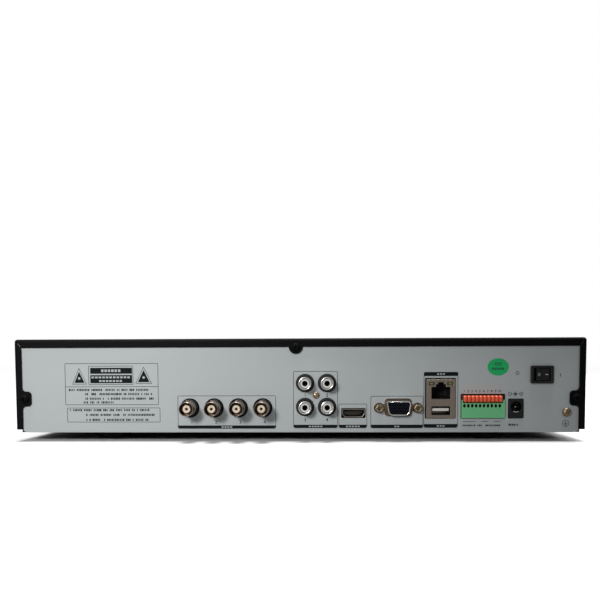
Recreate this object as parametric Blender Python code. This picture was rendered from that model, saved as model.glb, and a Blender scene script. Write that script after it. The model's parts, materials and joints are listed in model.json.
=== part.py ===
"""Desktop video recorder for surveillance cameras, seen mainly from its connector side.

Frame: +Z up, connector panel towards +Y, front fascia towards -Y, origin on the
floor under the middle of the box.  Driving sizes are in metres.
"""
import math

import bmesh
import bpy
from mathutils import Matrix, Vector

MM = 0.001
GAP = 0.3 * MM

# Overall box
WIDTH = 375 * MM
BODY_HEIGHT = 61.8 * MM
BODY_DEPTH = 288 * MM
FOOT_HEIGHT = 6 * MM
SOCKET_PROUD = 14 * MM
SHEET = 1.0 * MM

HALF_DEPTH = (BODY_DEPTH + SOCKET_PROUD) / 2
FRONT_Y = -HALF_DEPTH
PANEL_Y = HALF_DEPTH - SOCKET_PROUD
BASE_Z = FOOT_HEIGHT
TOP_Z = FOOT_HEIGHT + BODY_HEIGHT

# Connector panel
PANEL_THICKNESS = 1.2 * MM
PANEL_BACK_Y = PANEL_Y - PANEL_THICKNESS
PANEL_HALF_WIDTH = 185.5 * MM
PANEL_CORNER_RADIUS = 6 * MM

# Cover and its turned-in rear lip
COVER_BOTTOM_Z = BASE_Z + 2 * MM
COVER_FRONT_Y = FRONT_Y + 14.3 * MM
LIP_INNER_Y = PANEL_Y + GAP
LIP_OUTER_Y = LIP_INNER_Y + SHEET
SIDE_LIP = 4.6 * MM
TOP_LIP = 5.6 * MM
BEND_RADIUS = 1.8 * MM
SIDE_TAB_REACH = 6.0 * MM
SIDE_TAB_HEIGHT = 9.9 * MM
SIDE_TAB_FILLET = 2.4 * MM
TOP_TAB_RADIUS = 4.6 * MM
TOP_TAB_X = 1.0 * MM
COVER_SCREW_X = 181.2 * MM
COVER_SCREW_Z = BASE_Z + 22.4 * MM
TOP_SCREW_Z = TOP_Z - 6.0 * MM
MITRE_WIDTH = 0.45 * MM
VENT_COUNT = 14
VENT_PITCH = 7 * MM
VENT_SIZE = (3 * MM, 26 * MM)
VENT_END_RADIUS = 1.49 * MM
VENT_START_Y = -40 * MM
VENT_Z = BASE_Z + 33 * MM

# Base tray
TRAY_HALF_WIDTH = 184.5 * MM
TRAY_FRONT_Y = FRONT_Y + 14.5 * MM
TRAY_REAR_Y = PANEL_BACK_Y - GAP
TRAY_WALL_TOP_Z = BASE_Z + 16 * MM
TRAY_REAR_WALL_TOP_Z = BASE_Z + 5.6 * MM
STANDOFF_RADIUS = 2.6 * MM
DRIVE_POST_RADIUS = 4 * MM

# Main board: its top face carries every rear connector
BOARD_TOP_Z = BASE_Z + 9.1 * MM
BOARD_THICKNESS = 1.6 * MM
BOARD_BOTTOM_Z = BOARD_TOP_Z - BOARD_THICKNESS
BOARD_X = (-169 * MM, 84 * MM)
BOARD_Y = (44 * MM, 134 * MM)
BOARD_REAR_POST_Y = 116 * MM
SEAT_Z = BOARD_TOP_Z + GAP

# Connectors on the rear panel, left to right across +X to -X
CAMERA_SOCKET_X = tuple((71.2 - 16.1 * index) * MM for index in range(4))
CAMERA_SOCKET_Z = BASE_Z + 16.2 * MM
CAMERA_SOCKET_RADIUS = 4.8 * MM
CAMERA_HOLE_RADIUS = 6.4 * MM
CAMERA_BACK_Y = PANEL_Y - 17 * MM
CAMERA_BASE_HALF = 7 * MM
PHONO_X = (-5.1 * MM, -19.5 * MM)
PHONO_Z = (BASE_Z + 32.4 * MM, BASE_Z + 16.7 * MM)
PHONO_COLLAR_RADIUS = 5.8 * MM
PHONO_SLEEVE_RADIUS = 4.2 * MM
PHONO_SLEEVE_PROUD = 9 * MM
PHONO_BACK_Y = PANEL_Y - 19 * MM
HD_OUT_X = -36.8 * MM
HD_OUT_Z = BASE_Z + 12.7 * MM
HD_OUT_BACK_Y = PANEL_Y - 14 * MM
HD_OUT_SHELL = (15 * MM, 5.5 * MM)
VIDEO_X = -66.2 * MM
VIDEO_Z = BASE_Z + 16.0 * MM
VIDEO_BACK_Y = PANEL_Y - 16 * MM
JACKSCREW_SPACING = 25 * MM
JACKSCREW_HOLE_RADIUS = 3.4 * MM
VIDEO_HOLE = (17.8 * MM, 11.8 * MM)
NETWORK_X = -93.8 * MM
NETWORK_BACK_Y = PANEL_Y - 20 * MM
NETWORK_SHELL = (18.8 * MM, BASE_Z + 34.8 * MM)
NETWORK_OPENING = (12.4 * MM, 8.0 * MM)
NETWORK_OPENING_Z = BASE_Z + 25.8 * MM
BUS_OPENING = (12.3 * MM, 5.8 * MM)
BUS_OPENING_Z = BASE_Z + 14.2 * MM
TERMINAL_X = (-107.2 * MM, -135.3 * MM)
TERMINAL_BACK_Y = PANEL_Y - 16 * MM
TERMINAL_POCKET_BACK_Y = PANEL_Y - 11 * MM
TERMINAL_TOP_Z = BASE_Z + 24.7 * MM
TERMINAL_STEP_Z = BASE_Z + 21.2 * MM
TERMINAL_RIM = 0.7 * MM
TERMINAL_POCKET_Z = (BASE_Z + 15.0 * MM, BASE_Z + 19.2 * MM)
TERMINAL_FACE_Y = PANEL_Y + 1.5 * MM
LEVER_COUNT = 10
LEVER_PITCH = 2.54 * MM
LEVER_FIRST_X = -109.0 * MM
LEVER_WIDTH = 1.9 * MM
LEVER_TOP_Z = BASE_Z + 24.1 * MM
LEVER_PIVOT = (PANEL_Y - 8.5 * MM, BASE_Z + 17.1 * MM)
WIRE_HOLE_Z = BASE_Z + 17.4 * MM
WIRE_HOLE = (1.7 * MM, 2.4 * MM)
POWER_IN_X = -142.65 * MM
POWER_IN_BACK_Y = PANEL_Y - 14 * MM
POWER_IN_SIZE = (9.3 * MM, 12.2 * MM)
POWER_IN_BORE_Z = BASE_Z + 16.6 * MM
POWER_IN_BORE_RADIUS = 3.6 * MM
SWITCH_X = -158.85 * MM
SWITCH_BACK_Y = PANEL_Y - 15 * MM
SWITCH_Z = BASE_Z + 37.7 * MM
SWITCH_BEZEL = (14.7 * MM, 11.5 * MM)
SWITCH_HOLE = (13.6 * MM, 10.6 * MM)
SWITCH_CASE = (12.6 * MM, 9.8 * MM)
SWITCH_POCKET = (10.7 * MM, 8.6 * MM)
SWITCH_FACE_Y = PANEL_Y + 2.1 * MM
ROCKER_PIVOT_Y = PANEL_Y - 1.1 * MM
ROCKER_REST_TILT = math.radians(8)
# The rocker's outline seen from above, in millimetres from its pin
ROCKER_TOP_VIEW = ((-4.5, 3.2), (0, 2.3), (4.5, 3.2), (4.2, -1), (2, -2.8), (-2, -2.8), (-4.2, -1))
GROUND_SCREW_X = -175.3 * MM
GROUND_SCREW_Z = BASE_Z + 13.1 * MM

# Front fascia, its window and its buttons
FASCIA_DEPTH = 14 * MM
FASCIA_WALL = 2.5 * MM
FASCIA_RADIUS = 3 * MM
WINDOW_X = (-156 * MM, -56 * MM)
WINDOW_Z = (BASE_Z + 18 * MM, BASE_Z + 44 * MM)
WINDOW_THICKNESS = 1.3 * MM
BUTTON_X = (96 * MM, 120 * MM, 144 * MM)
BUTTON_Z = BASE_Z + 31 * MM
BUTTON_SIZE = (16 * MM, 7 * MM)
FRONT_BOARD_Y = (FRONT_Y + 18 * MM, FRONT_Y + 19.6 * MM)
FRONT_BOARD_SIZE = (74 * MM, 26 * MM)

FOOT_X = 128.6 * MM
FOOT_Y = (FRONT_Y + 32 * MM, PANEL_Y - 28 * MM)
DRIVE_SIZE = Vector((101.6, 147, 26.1)) * MM
DRIVE_CORNER = Vector((-160, -122, 14.3)) * MM

# Parts on the main board: (x, y, width, depth, height) in millimetres
BOARD_CHIPS = (
    (-110, 74, 27, 27, 1.5),
    (-80, 66, 12, 14, 1.2),
    (-80, 84, 12, 14, 1.2),
    (-30, 80, 18, 18, 1.4),
    (40, 96, 14, 14, 1.4),
    (-64, 52, 18, 6, 8),
)
CAPACITOR_PLACES = ((-150 * MM, 100 * MM), (-138 * MM, 100 * MM))
CAPACITOR_SIZE = (4 * MM, 12 * MM)
HEAT_SINK_X = -110 * MM
HEAT_SINK_Y = (54 * MM, 94 * MM)
BATTERY_PLACE = (10 * MM, 70 * MM, 0)

# Screws: (radius, height) of each pan head, and the shank they share
COVER_SCREW_HEAD = (2.9 * MM, 1.7 * MM)
GROUND_SCREW_HEAD = (2.9 * MM, 2.2 * MM)
PHONO_SCREW_HEAD = (2.3 * MM, 1.4 * MM)
SHANK_RADIUS = 1.4 * MM
SHANK_LENGTH = 6 * MM
SCREW_HOLE_RADIUS = 1.9 * MM

ROUND = 20


# ---------------------------------------------------------------- materials
def finish(name, colour, roughness, metallic=0.0):
    """Return the named material, made the first time it is asked for."""
    found = bpy.data.materials.get(name)
    if found:
        return found
    made = bpy.data.materials.new(name)
    made.use_nodes = True
    shader = made.node_tree.nodes["Principled BSDF"]
    shader.inputs["Base Color"].default_value = (*colour, 1.0)
    shader.inputs["Roughness"].default_value = roughness
    shader.inputs["Metallic"].default_value = metallic
    return made


def black_steel():
    return finish("black_painted_steel", (0.012, 0.013, 0.014), 0.45)


def grey_steel():
    return finish("grey_painted_steel", (0.42, 0.45, 0.46), 0.5)


def nickel():
    return finish("nickel_plate", (0.62, 0.58, 0.52), 0.3, 1.0)


def black_plastic():
    return finish("black_plastic", (0.015, 0.015, 0.016), 0.5)


def board_green():
    return finish("green_board", (0.02, 0.16, 0.06), 0.55)


# ------------------------------------------------------------ solid builders
def add_box(mesh, low, high):
    """Add a box between two corners to a bmesh and return its vertices."""
    low, high = Vector(low), Vector(high)
    place = Matrix.Translation((low + high) / 2) @ Matrix.Diagonal((*(high - low), 1.0))
    return bmesh.ops.create_cube(mesh, size=1.0, matrix=place)["verts"]


def add_prism(mesh, outline, start, end, axis="Y"):
    """Add an outline extruded along an axis; outline points are the other two coordinates."""
    order = {
        "X": lambda a, b, c: (c, a, b),
        "Y": lambda a, b, c: (a, c, b),
        "Z": lambda a, b, c: (a, b, c),
    }
    place = order[axis]
    face = mesh.faces.new([mesh.verts.new(place(a, b, start)) for a, b in outline])
    grown = bmesh.ops.extrude_face_region(mesh, geom=[face])["geom"]
    moved = [item for item in grown if isinstance(item, bmesh.types.BMVert)]
    bmesh.ops.translate(mesh, verts=moved, vec=Vector(place(0, 0, end - start)))


def add_turned(mesh, profile, centre, axis="Y", steps=ROUND):
    """Add a profile of (radius, height) points turned round an axis through centre."""
    along = Vector((0, 1, 0)) if axis == "Y" else Vector((0, 0, 1))
    across = Vector((1, 0, 0))
    centre = Vector(centre)
    points = [mesh.verts.new(centre + across * radius + along * height) for radius, height in profile]
    edges = [mesh.edges.new(pair) for pair in zip(points, points[1:])]
    if profile[0][0] > 0:
        edges.append(mesh.edges.new((points[-1], points[0])))
    bmesh.ops.spin(
        mesh, geom=points + edges, cent=centre, axis=along, angle=math.tau, steps=steps, use_merge=True
    )
    bmesh.ops.remove_doubles(mesh, verts=mesh.verts, dist=0.001 * MM)


def add_post(mesh, place, radius, low, high, steps=12):
    """Add an upright round post between two heights."""
    add_turned(mesh, [(0, low), (radius, low), (radius, high), (0, high)], (*place, 0), "Z", steps)


def sheet_object(name, mesh, look):
    """Turn a bmesh into a named object with outward faces and one material."""
    bmesh.ops.recalc_face_normals(mesh, faces=mesh.faces)
    data = bpy.data.meshes.new(name)
    mesh.to_mesh(data)
    mesh.free()
    made = bpy.data.objects.new(name, data)
    bpy.context.scene.collection.objects.link(made)
    if look:
        data.materials.append(look)
    return made


def shade_round(piece):
    """Shade a piece smooth and keep its corners sharp."""
    piece.data.shade_smooth()
    piece.data.set_sharp_from_angle(angle=math.radians(35))


def combine(piece, mesh, operation):
    """Cut a bmesh from a piece, or join it on, with a Boolean modifier."""
    tool = sheet_object(f"{piece.name}_{operation.lower()}_tool", mesh, None)
    tool.hide_render = True
    tool.display_type = "WIRE"
    step = piece.modifiers.new(operation.title(), "BOOLEAN")
    step.operation = operation
    step.object = tool
    step.solver = "EXACT"


def put_origin(piece, point):
    """Move an object's origin to a point and leave its surface where it is."""
    piece.data.transform(Matrix.Translation(-Vector(point)))
    piece.location = point


# ------------------------------------------------------------------ outlines
def arc(centre, radius, start, end, steps=4):
    """Points of an arc between two angles in degrees."""
    angles = [math.radians(start + (end - start) * index / steps) for index in range(steps + 1)]
    return [(centre[0] + radius * math.cos(turn), centre[1] + radius * math.sin(turn)) for turn in angles]


def circle(centre, radius, steps=ROUND):
    return arc(centre, radius, 0, 360, steps)[:-1]


def rounded_box(centre, size, radius, steps=3):
    """Outline of a rectangle with round corners."""
    half_a, half_b = size[0] / 2 - radius, size[1] / 2 - radius
    corners = ((1, 1, 0), (-1, 1, 90), (-1, -1, 180), (1, -1, 270))
    points = []
    for side_a, side_b, turn in corners:
        middle = (centre[0] + side_a * half_a, centre[1] + side_b * half_b)
        points += arc(middle, radius, turn, turn + 90, steps)
    return points


def box_outline(centre, size):
    corners = ((1, 1), (-1, 1), (-1, -1), (1, -1))
    return [(centre[0] + a * size[0] / 2, centre[1] + b * size[1] / 2) for a, b in corners]


def grown(size, margin):
    """A (width, height) with a margin added to both."""
    return size[0] + margin, size[1] + margin


def tapered_socket(centre, size, bottom_width, shoulder):
    """Outline of a socket that is wide at the top and narrows to its bottom edge."""
    x, z = centre
    half, low = size[0] / 2, size[1] / 2
    return [
        (x + half, z + low),
        (x - half, z + low),
        (x - half, z - low + shoulder),
        (x - bottom_width / 2, z - low),
        (x + bottom_width / 2, z - low),
        (x + half, z - low + shoulder),
    ]


# -------------------------------------------------------------------- casing
def bevel_box(low, high, radius, chosen, steps=3):
    """A bmesh box with the edges picked by a test on their middle point and direction rounded."""
    mesh = bmesh.new()
    add_box(mesh, low, high)
    edges = []
    for edge in mesh.edges:
        middle = (edge.verts[0].co + edge.verts[1].co) / 2
        along = (edge.verts[1].co - edge.verts[0].co).normalized()
        if chosen(middle, along):
            edges.append(edge)
    bmesh.ops.bevel(mesh, geom=edges, offset=radius, segments=steps, profile=0.5, affect="EDGES")
    return mesh


def lip_window():
    """Outline of the opening that the cover's lip leaves, with its three screw tabs."""
    inner = WIDTH / 2 - SIDE_LIP
    tab = inner - SIDE_TAB_REACH
    fillet = SIDE_TAB_FILLET
    low = COVER_SCREW_Z - SIDE_TAB_HEIGHT / 2
    high = COVER_SCREW_Z + SIDE_TAB_HEIGHT / 2
    top = TOP_Z - TOP_LIP
    right = [(inner, COVER_BOTTOM_Z - 5 * MM), (inner, low - fillet)]
    right += arc((inner - fillet, low - fillet), fillet, 0, 90)[1:]
    right += arc((tab + fillet, low + fillet), fillet, 270, 180)
    right += arc((tab + fillet, high - fillet), fillet, 180, 90)
    right += arc((inner - fillet, high + fillet), fillet, 270, 360)
    right += [(inner, top)]
    tab_drop = arc((TOP_TAB_X, top), TOP_TAB_RADIUS, 0, -180, 10)
    left = [(-x, z) for x, z in reversed(right)]
    return right + tab_drop + left


def build_cover():
    def folded(middle, along):
        on_top = middle.z > TOP_Z - 2 * SHEET
        on_rear = middle.y > LIP_INNER_Y - 2 * SHEET
        upright = abs(along.z) > 0.5
        sideways = abs(along.x) > 0.5
        return (on_top and (not sideways or on_rear)) or (on_rear and upright)

    half = WIDTH / 2
    low, high = (-half, COVER_FRONT_Y, COVER_BOTTOM_Z), (half, LIP_OUTER_Y, TOP_Z)
    shell = bevel_box(low, high, BEND_RADIUS, folded)
    cover = sheet_object("top_cover", shell, black_steel())
    room = bevel_box(
        (SHEET - half, COVER_FRONT_Y - 5 * MM, COVER_BOTTOM_Z - 5 * MM),
        (half - SHEET, LIP_INNER_Y, TOP_Z - SHEET),
        BEND_RADIUS - SHEET,
        folded,
        2,
    )
    combine(cover, room, "DIFFERENCE")
    openings = bmesh.new()
    add_prism(openings, lip_window(), LIP_INNER_Y - 2 * MM, LIP_OUTER_Y + 2 * MM)
    combine(cover, openings, "DIFFERENCE")
    combine(cover, cover_cuts(), "DIFFERENCE")


def cover_cuts():
    """Screw holes, mitre slits at the top corners and the side vents."""
    cuts = bmesh.new()
    for place in cover_screw_places().values():
        hole = circle(place, SCREW_HOLE_RADIUS, 16)
        add_prism(cuts, hole, LIP_INNER_Y - 2 * MM, LIP_OUTER_Y + 2 * MM)
    for side in (1, -1):
        inner = Vector((WIDTH / 2 - SIDE_LIP - 0.8 * MM, TOP_Z - TOP_LIP - 1.6 * MM))
        outer = Vector((WIDTH / 2 - 1.7 * MM, TOP_Z - 1.7 * MM))
        across = Vector((-1, 1)).normalized() * MITRE_WIDTH / 2
        slit = [inner - across, outer - across, outer + across, inner + across]
        outline = [(side * x, z) for x, z in slit]
        add_prism(cuts, outline, LIP_INNER_Y - 0.5 * MM, LIP_OUTER_Y + 2 * MM)
        for index in range(VENT_COUNT):
            y = VENT_START_Y + index * VENT_PITCH
            reach = sorted((side * (WIDTH / 2 - 3 * MM), side * (WIDTH / 2 + 3 * MM)))
            add_prism(cuts, rounded_box((y, VENT_Z), VENT_SIZE, VENT_END_RADIUS, 2), *reach, axis="X")
    return cuts


def cover_screw_places():
    """Where each cover screw goes, as name and (x, z)."""
    return {
        "cover_screw_left": (COVER_SCREW_X, COVER_SCREW_Z),
        "cover_screw_right": (-COVER_SCREW_X, COVER_SCREW_Z),
        "cover_screw_top": (TOP_TAB_X, TOP_SCREW_Z),
    }


def panel_outline():
    half, radius = PANEL_HALF_WIDTH, PANEL_CORNER_RADIUS
    top = TOP_Z - SHEET - 2 * GAP
    points = [(half, top), (-half, top)]
    points += arc((-half + radius, BASE_Z + radius), radius, 180, 270)
    points += arc((half - radius, BASE_Z + radius), radius, 270, 360)
    return points


def video_outline(size, radius):
    """Outline of the video plug's shell: wide at the top, ends leaning in by ten degrees."""
    half, low = size[0] / 2, size[1] / 2
    lean = size[1] * math.tan(math.radians(10))
    places = ((half, low), (-half, low), (lean - half, -low), (half - lean, -low))
    corners = [Vector(place) for place in places]
    points = []
    for index, corner in enumerate(corners):
        start = corner + (corners[index - 1] - corner).normalized() * radius
        end = corner + (corners[(index + 1) % 4] - corner).normalized() * radius
        for step in range(5):
            share = step / 4
            bend = start * (1 - share) ** 2 + corner * 2 * share * (1 - share) + end * share**2
            points.append((VIDEO_X + bend.x, VIDEO_Z + bend.y))
    return points


def standing_hole(x, lift, width, height, margin):
    """Outline of the panel hole round a connector that stands on the main board."""
    return rounded_box((x, SEAT_Z + height / 2 + lift), grown((width, height), margin), 0.5 * MM)


def build_rear_panel():
    mesh = bmesh.new()
    add_prism(mesh, panel_outline(), PANEL_BACK_Y, PANEL_Y)
    panel = sheet_object("rear_panel", mesh, grey_steel())
    terminal_width = TERMINAL_X[0] - TERMINAL_X[1]
    shell_height = NETWORK_SHELL[1] - SEAT_Z
    places = list(cover_screw_places().values()) + [phono_screw_place(), (GROUND_SCREW_X, GROUND_SCREW_Z)]
    holes = [circle((x, CAMERA_SOCKET_Z), CAMERA_HOLE_RADIUS) for x in CAMERA_SOCKET_X]
    holes += [circle((x, z), PHONO_COLLAR_RADIUS + GAP) for x in PHONO_X for z in PHONO_Z]
    holes += [circle(place, SCREW_HOLE_RADIUS, 16) for place in places]
    holes += [
        rounded_box((HD_OUT_X, HD_OUT_Z), grown(HD_OUT_SHELL, 1 * MM), 0.6 * MM),
        rounded_box((VIDEO_X, VIDEO_Z + 0.3 * MM), VIDEO_HOLE, 2.4 * MM),
        standing_hole(NETWORK_X + 0.2 * MM, 0.2 * MM, NETWORK_SHELL[0], shell_height, 1.2 * MM),
        standing_hole(sum(TERMINAL_X) / 2, 0, terminal_width, TERMINAL_TOP_Z - SEAT_Z, 0.8 * MM),
        standing_hole(POWER_IN_X, 0, *POWER_IN_SIZE, 0.8 * MM),
        box_outline((SWITCH_X, SWITCH_Z), SWITCH_HOLE),
    ]
    ears = [circle((x, VIDEO_Z), JACKSCREW_HOLE_RADIUS, 24) for x in jackscrew_places()]
    bridge = [box_outline((VIDEO_X, VIDEO_Z), (JACKSCREW_SPACING, 4.8 * MM))]
    for layer in (holes, ears, bridge):
        cuts = bmesh.new()
        for hole in layer:
            add_prism(cuts, hole, PANEL_BACK_Y - MM, PANEL_Y + MM)
        combine(panel, cuts, "DIFFERENCE")


def build_tray():
    half = TRAY_HALF_WIDTH
    mesh = bmesh.new()
    add_box(mesh, (-half, TRAY_FRONT_Y, BASE_Z), (half, TRAY_REAR_Y, TRAY_WALL_TOP_Z))
    tray = sheet_object("base_tray", mesh, grey_steel())
    cuts = bmesh.new()
    floor = BASE_Z + SHEET
    add_box(
        cuts,
        (SHEET - half, TRAY_FRONT_Y + SHEET, floor),
        (half - SHEET, TRAY_REAR_Y - SHEET, TRAY_WALL_TOP_Z + 5 * MM),
    )
    for group_x in (-30 * MM, 70 * MM):
        for index in range(8):
            middle = (group_x, -100 * MM + index * 8 * MM)
            add_prism(cuts, box_outline(middle, (40 * MM, 3 * MM)), BASE_Z - MM, floor + MM, "Z")
    combine(tray, cuts, "DIFFERENCE")
    notch = bmesh.new()
    add_box(
        notch,
        (-180 * MM, TRAY_REAR_Y - 3 * MM, TRAY_REAR_WALL_TOP_Z),
        (180 * MM, TRAY_REAR_Y + 3 * MM, TRAY_WALL_TOP_Z + 5 * MM),
    )
    combine(tray, notch, "DIFFERENCE")
    posts = bmesh.new()
    sunk = floor - 0.5 * MM
    for place in board_post_places():
        add_post(posts, place, STANDOFF_RADIUS, sunk, BOARD_BOTTOM_Z - GAP)
    for place in drive_post_places():
        add_post(posts, place, DRIVE_POST_RADIUS, sunk, DRIVE_CORNER.z - GAP)
    combine(tray, posts, "UNION")


def board_post_places():
    inset = 8 * MM
    ends_x = (BOARD_X[0] + inset, BOARD_X[1] - inset)
    return [(x, y) for x in ends_x for y in (BOARD_Y[0] + inset, BOARD_REAR_POST_Y)]


def drive_post_places():
    inset = 12 * MM
    ends_x = (DRIVE_CORNER.x + inset, DRIVE_CORNER.x + DRIVE_SIZE.x - inset)
    ends_y = (DRIVE_CORNER.y + inset, DRIVE_CORNER.y + DRIVE_SIZE.y - inset)
    return [(x, y) for x in ends_x for y in ends_y]


def build_feet():
    profile = [(0, 0), (9.4 * MM, 0), (10 * MM, 0.7 * MM), (6.7 * MM, 5.7 * MM), (0, 5.7 * MM)]
    rubber = finish("black_rubber", (0.02, 0.02, 0.02), 0.8)
    for side, x in (("left", FOOT_X), ("right", -FOOT_X)):
        for end, y in (("front", FOOT_Y[0]), ("rear", FOOT_Y[1])):
            mesh = bmesh.new()
            add_turned(mesh, profile, (x, y, 0), "Z")
            shade_round(sheet_object(f"foot_{end}_{side}", mesh, rubber))


# --------------------------------------------------------------- front parts
def build_fascia():
    half = WIDTH / 2
    back_y = FRONT_Y + FASCIA_DEPTH
    shell = bevel_box(
        (-half, FRONT_Y, BASE_Z),
        (half, back_y, TOP_Z),
        FASCIA_RADIUS,
        lambda middle, along: middle.y < FRONT_Y + MM or abs(along.y) > 0.5,
    )
    fascia = sheet_object("front_fascia", shell, black_plastic())
    cuts = bmesh.new()
    wall = FASCIA_WALL
    add_box(
        cuts, (wall - half, FRONT_Y + wall, BASE_Z + wall), (half - wall, back_y + 5 * MM, TOP_Z - wall)
    )
    combine(fascia, cuts, "DIFFERENCE")
    cuts = bmesh.new()
    window_middle = (sum(WINDOW_X) / 2, sum(WINDOW_Z) / 2)
    window_size = grown((WINDOW_X[1] - WINDOW_X[0], WINDOW_Z[1] - WINDOW_Z[0]), 2 * GAP)
    pocket = WINDOW_THICKNESS + GAP
    add_prism(cuts, rounded_box(window_middle, window_size, 2 * MM), FRONT_Y - MM, FRONT_Y + pocket)
    for x in BUTTON_X:
        hole = rounded_box((x, BUTTON_Z), grown(BUTTON_SIZE, 0.8 * MM), 3.6 * MM)
        add_prism(cuts, hole, FRONT_Y - MM, FRONT_Y + wall + MM)
    combine(fascia, cuts, "DIFFERENCE")
    joined = bmesh.new()
    for side in (1, -1):
        add_clip(joined, side * 172 * MM)
    combine(fascia, joined, "UNION")


def add_clip(mesh, x):
    """Add a snap arm that reaches over the tray's front wall and hooks behind it."""
    arm_z = TRAY_WALL_TOP_Z + 0.4 * MM
    front, hook = FRONT_Y + 1.5 * MM, TRAY_FRONT_Y + SHEET + 0.5 * MM
    side_view = [
        (front, arm_z),
        (hook, arm_z),
        (hook, arm_z - 3 * MM),
        (hook + 1.6 * MM, arm_z - 3 * MM),
        (hook + 1.6 * MM, arm_z + 1.8 * MM),
        (front, arm_z + 1.8 * MM),
    ]
    add_prism(mesh, side_view, x - 6 * MM, x + 6 * MM, "X")


def build_window():
    mesh = bmesh.new()
    middle = (sum(WINDOW_X) / 2, sum(WINDOW_Z) / 2)
    size = (WINDOW_X[1] - WINDOW_X[0], WINDOW_Z[1] - WINDOW_Z[0])
    add_prism(mesh, rounded_box(middle, size, 1.8 * MM), FRONT_Y, FRONT_Y + WINDOW_THICKNESS)
    sheet_object("front_window", mesh, finish("smoked_window", (0.02, 0.004, 0.006), 0.08))


def build_front_buttons():
    """Three sprung keys, each a cap, a retaining flange and a stem in one moulding."""
    grey = finish("grey_plastic", (0.1, 0.1, 0.11), 0.4)
    for index, x in enumerate(BUTTON_X):
        mesh = bmesh.new()
        add_prism(mesh, rounded_box((x, BUTTON_Z), BUTTON_SIZE, 3.2 * MM), FRONT_Y, FRONT_Y + 3.2 * MM)
        key = sheet_object(f"front_button_{index + 1}", mesh, grey)
        rest = bmesh.new()
        flange = rounded_box((x, BUTTON_Z), grown(BUTTON_SIZE, 3 * MM), 3.2 * MM)
        inner_y = FRONT_Y + FASCIA_WALL + GAP
        add_prism(rest, flange, inner_y, inner_y + 1.2 * MM)
        combine(key, rest, "UNION")
        stem = bmesh.new()
        section = box_outline((x, BUTTON_Z), (4 * MM, 3 * MM))
        add_prism(stem, section, inner_y + 0.6 * MM, FRONT_Y + 15.3 * MM)
        combine(key, stem, "UNION")


def build_front_board():
    mesh = bmesh.new()
    add_prism(mesh, box_outline((BUTTON_X[1], BUTTON_Z), FRONT_BOARD_SIZE), *FRONT_BOARD_Y)
    board = sheet_object("front_board", mesh, board_green())
    switches = bmesh.new()
    face = FRONT_BOARD_Y[0]
    for x in BUTTON_X:
        add_prism(switches, box_outline((x, BUTTON_Z), (6 * MM, 6 * MM)), face - 1.4 * MM, face + MM / 2)
    combine(board, switches, "UNION")


# ----------------------------------------------------------- rear connectors
def build_camera_sockets():
    """Four bayonet sockets: turned barrel with two lugs, on a square base, and its insulator."""
    radius = CAMERA_SOCKET_RADIUS
    tip = PANEL_Y + SOCKET_PROUD
    floor = tip - 8 * MM
    profile = [
        (0, CAMERA_BACK_Y),
        (6 * MM, CAMERA_BACK_Y),
        (6 * MM, PANEL_BACK_Y - 1 * MM),
        (5.6 * MM, PANEL_BACK_Y - 1 * MM),
        (5.6 * MM, PANEL_Y + 1.5 * MM),
        (radius, PANEL_Y + 1.5 * MM),
        (radius, tip - 0.3 * MM),
        (radius - 0.3 * MM, tip),
        (4.1 * MM, tip),
        (4.1 * MM, floor),
        (2.9 * MM, floor),
        (2.9 * MM, floor - 3 * MM),
        (0, floor - 3 * MM),
    ]
    insulator = [
        (0, floor),
        (0.9 * MM, floor),
        (0.9 * MM, tip - 2 * MM),
        (2.55 * MM, tip - 2 * MM),
        (2.55 * MM, floor - 2.7 * MM),
        (0, floor - 2.7 * MM),
    ]
    cream = finish("cream_insulator", (0.75, 0.62, 0.48), 0.5)
    for index, x in enumerate(CAMERA_SOCKET_X):
        centre = (x, 0, CAMERA_SOCKET_Z)
        mesh = bmesh.new()
        add_turned(mesh, profile, centre)
        socket = sheet_object(f"camera_socket_{index + 1}", mesh, nickel())
        extras = bmesh.new()
        add_box(
            extras,
            (x - CAMERA_BASE_HALF, CAMERA_BACK_Y - MM, SEAT_Z),
            (x + CAMERA_BASE_HALF, PANEL_Y - 4 * MM, CAMERA_SOCKET_Z + 5 * MM),
        )
        combine(socket, extras, "UNION")
        lugs = bmesh.new()
        for side in (1, -1):
            reach = sorted((side * (radius - 0.4 * MM), side * (radius + 0.75 * MM)))
            lug = circle((x, tip - 4.2 * MM), 1 * MM, 10)
            add_prism(lugs, lug, *(CAMERA_SOCKET_Z + value for value in reach), axis="Z")
        combine(socket, lugs, "UNION")
        shade_round(socket)
        mesh = bmesh.new()
        add_turned(mesh, insulator, centre, steps=16)
        shade_round(sheet_object(f"camera_insulator_{index + 1}", mesh, cream))


def phono_screw_place():
    return (sum(PHONO_X) / 2, sum(PHONO_Z) / 2)


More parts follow.
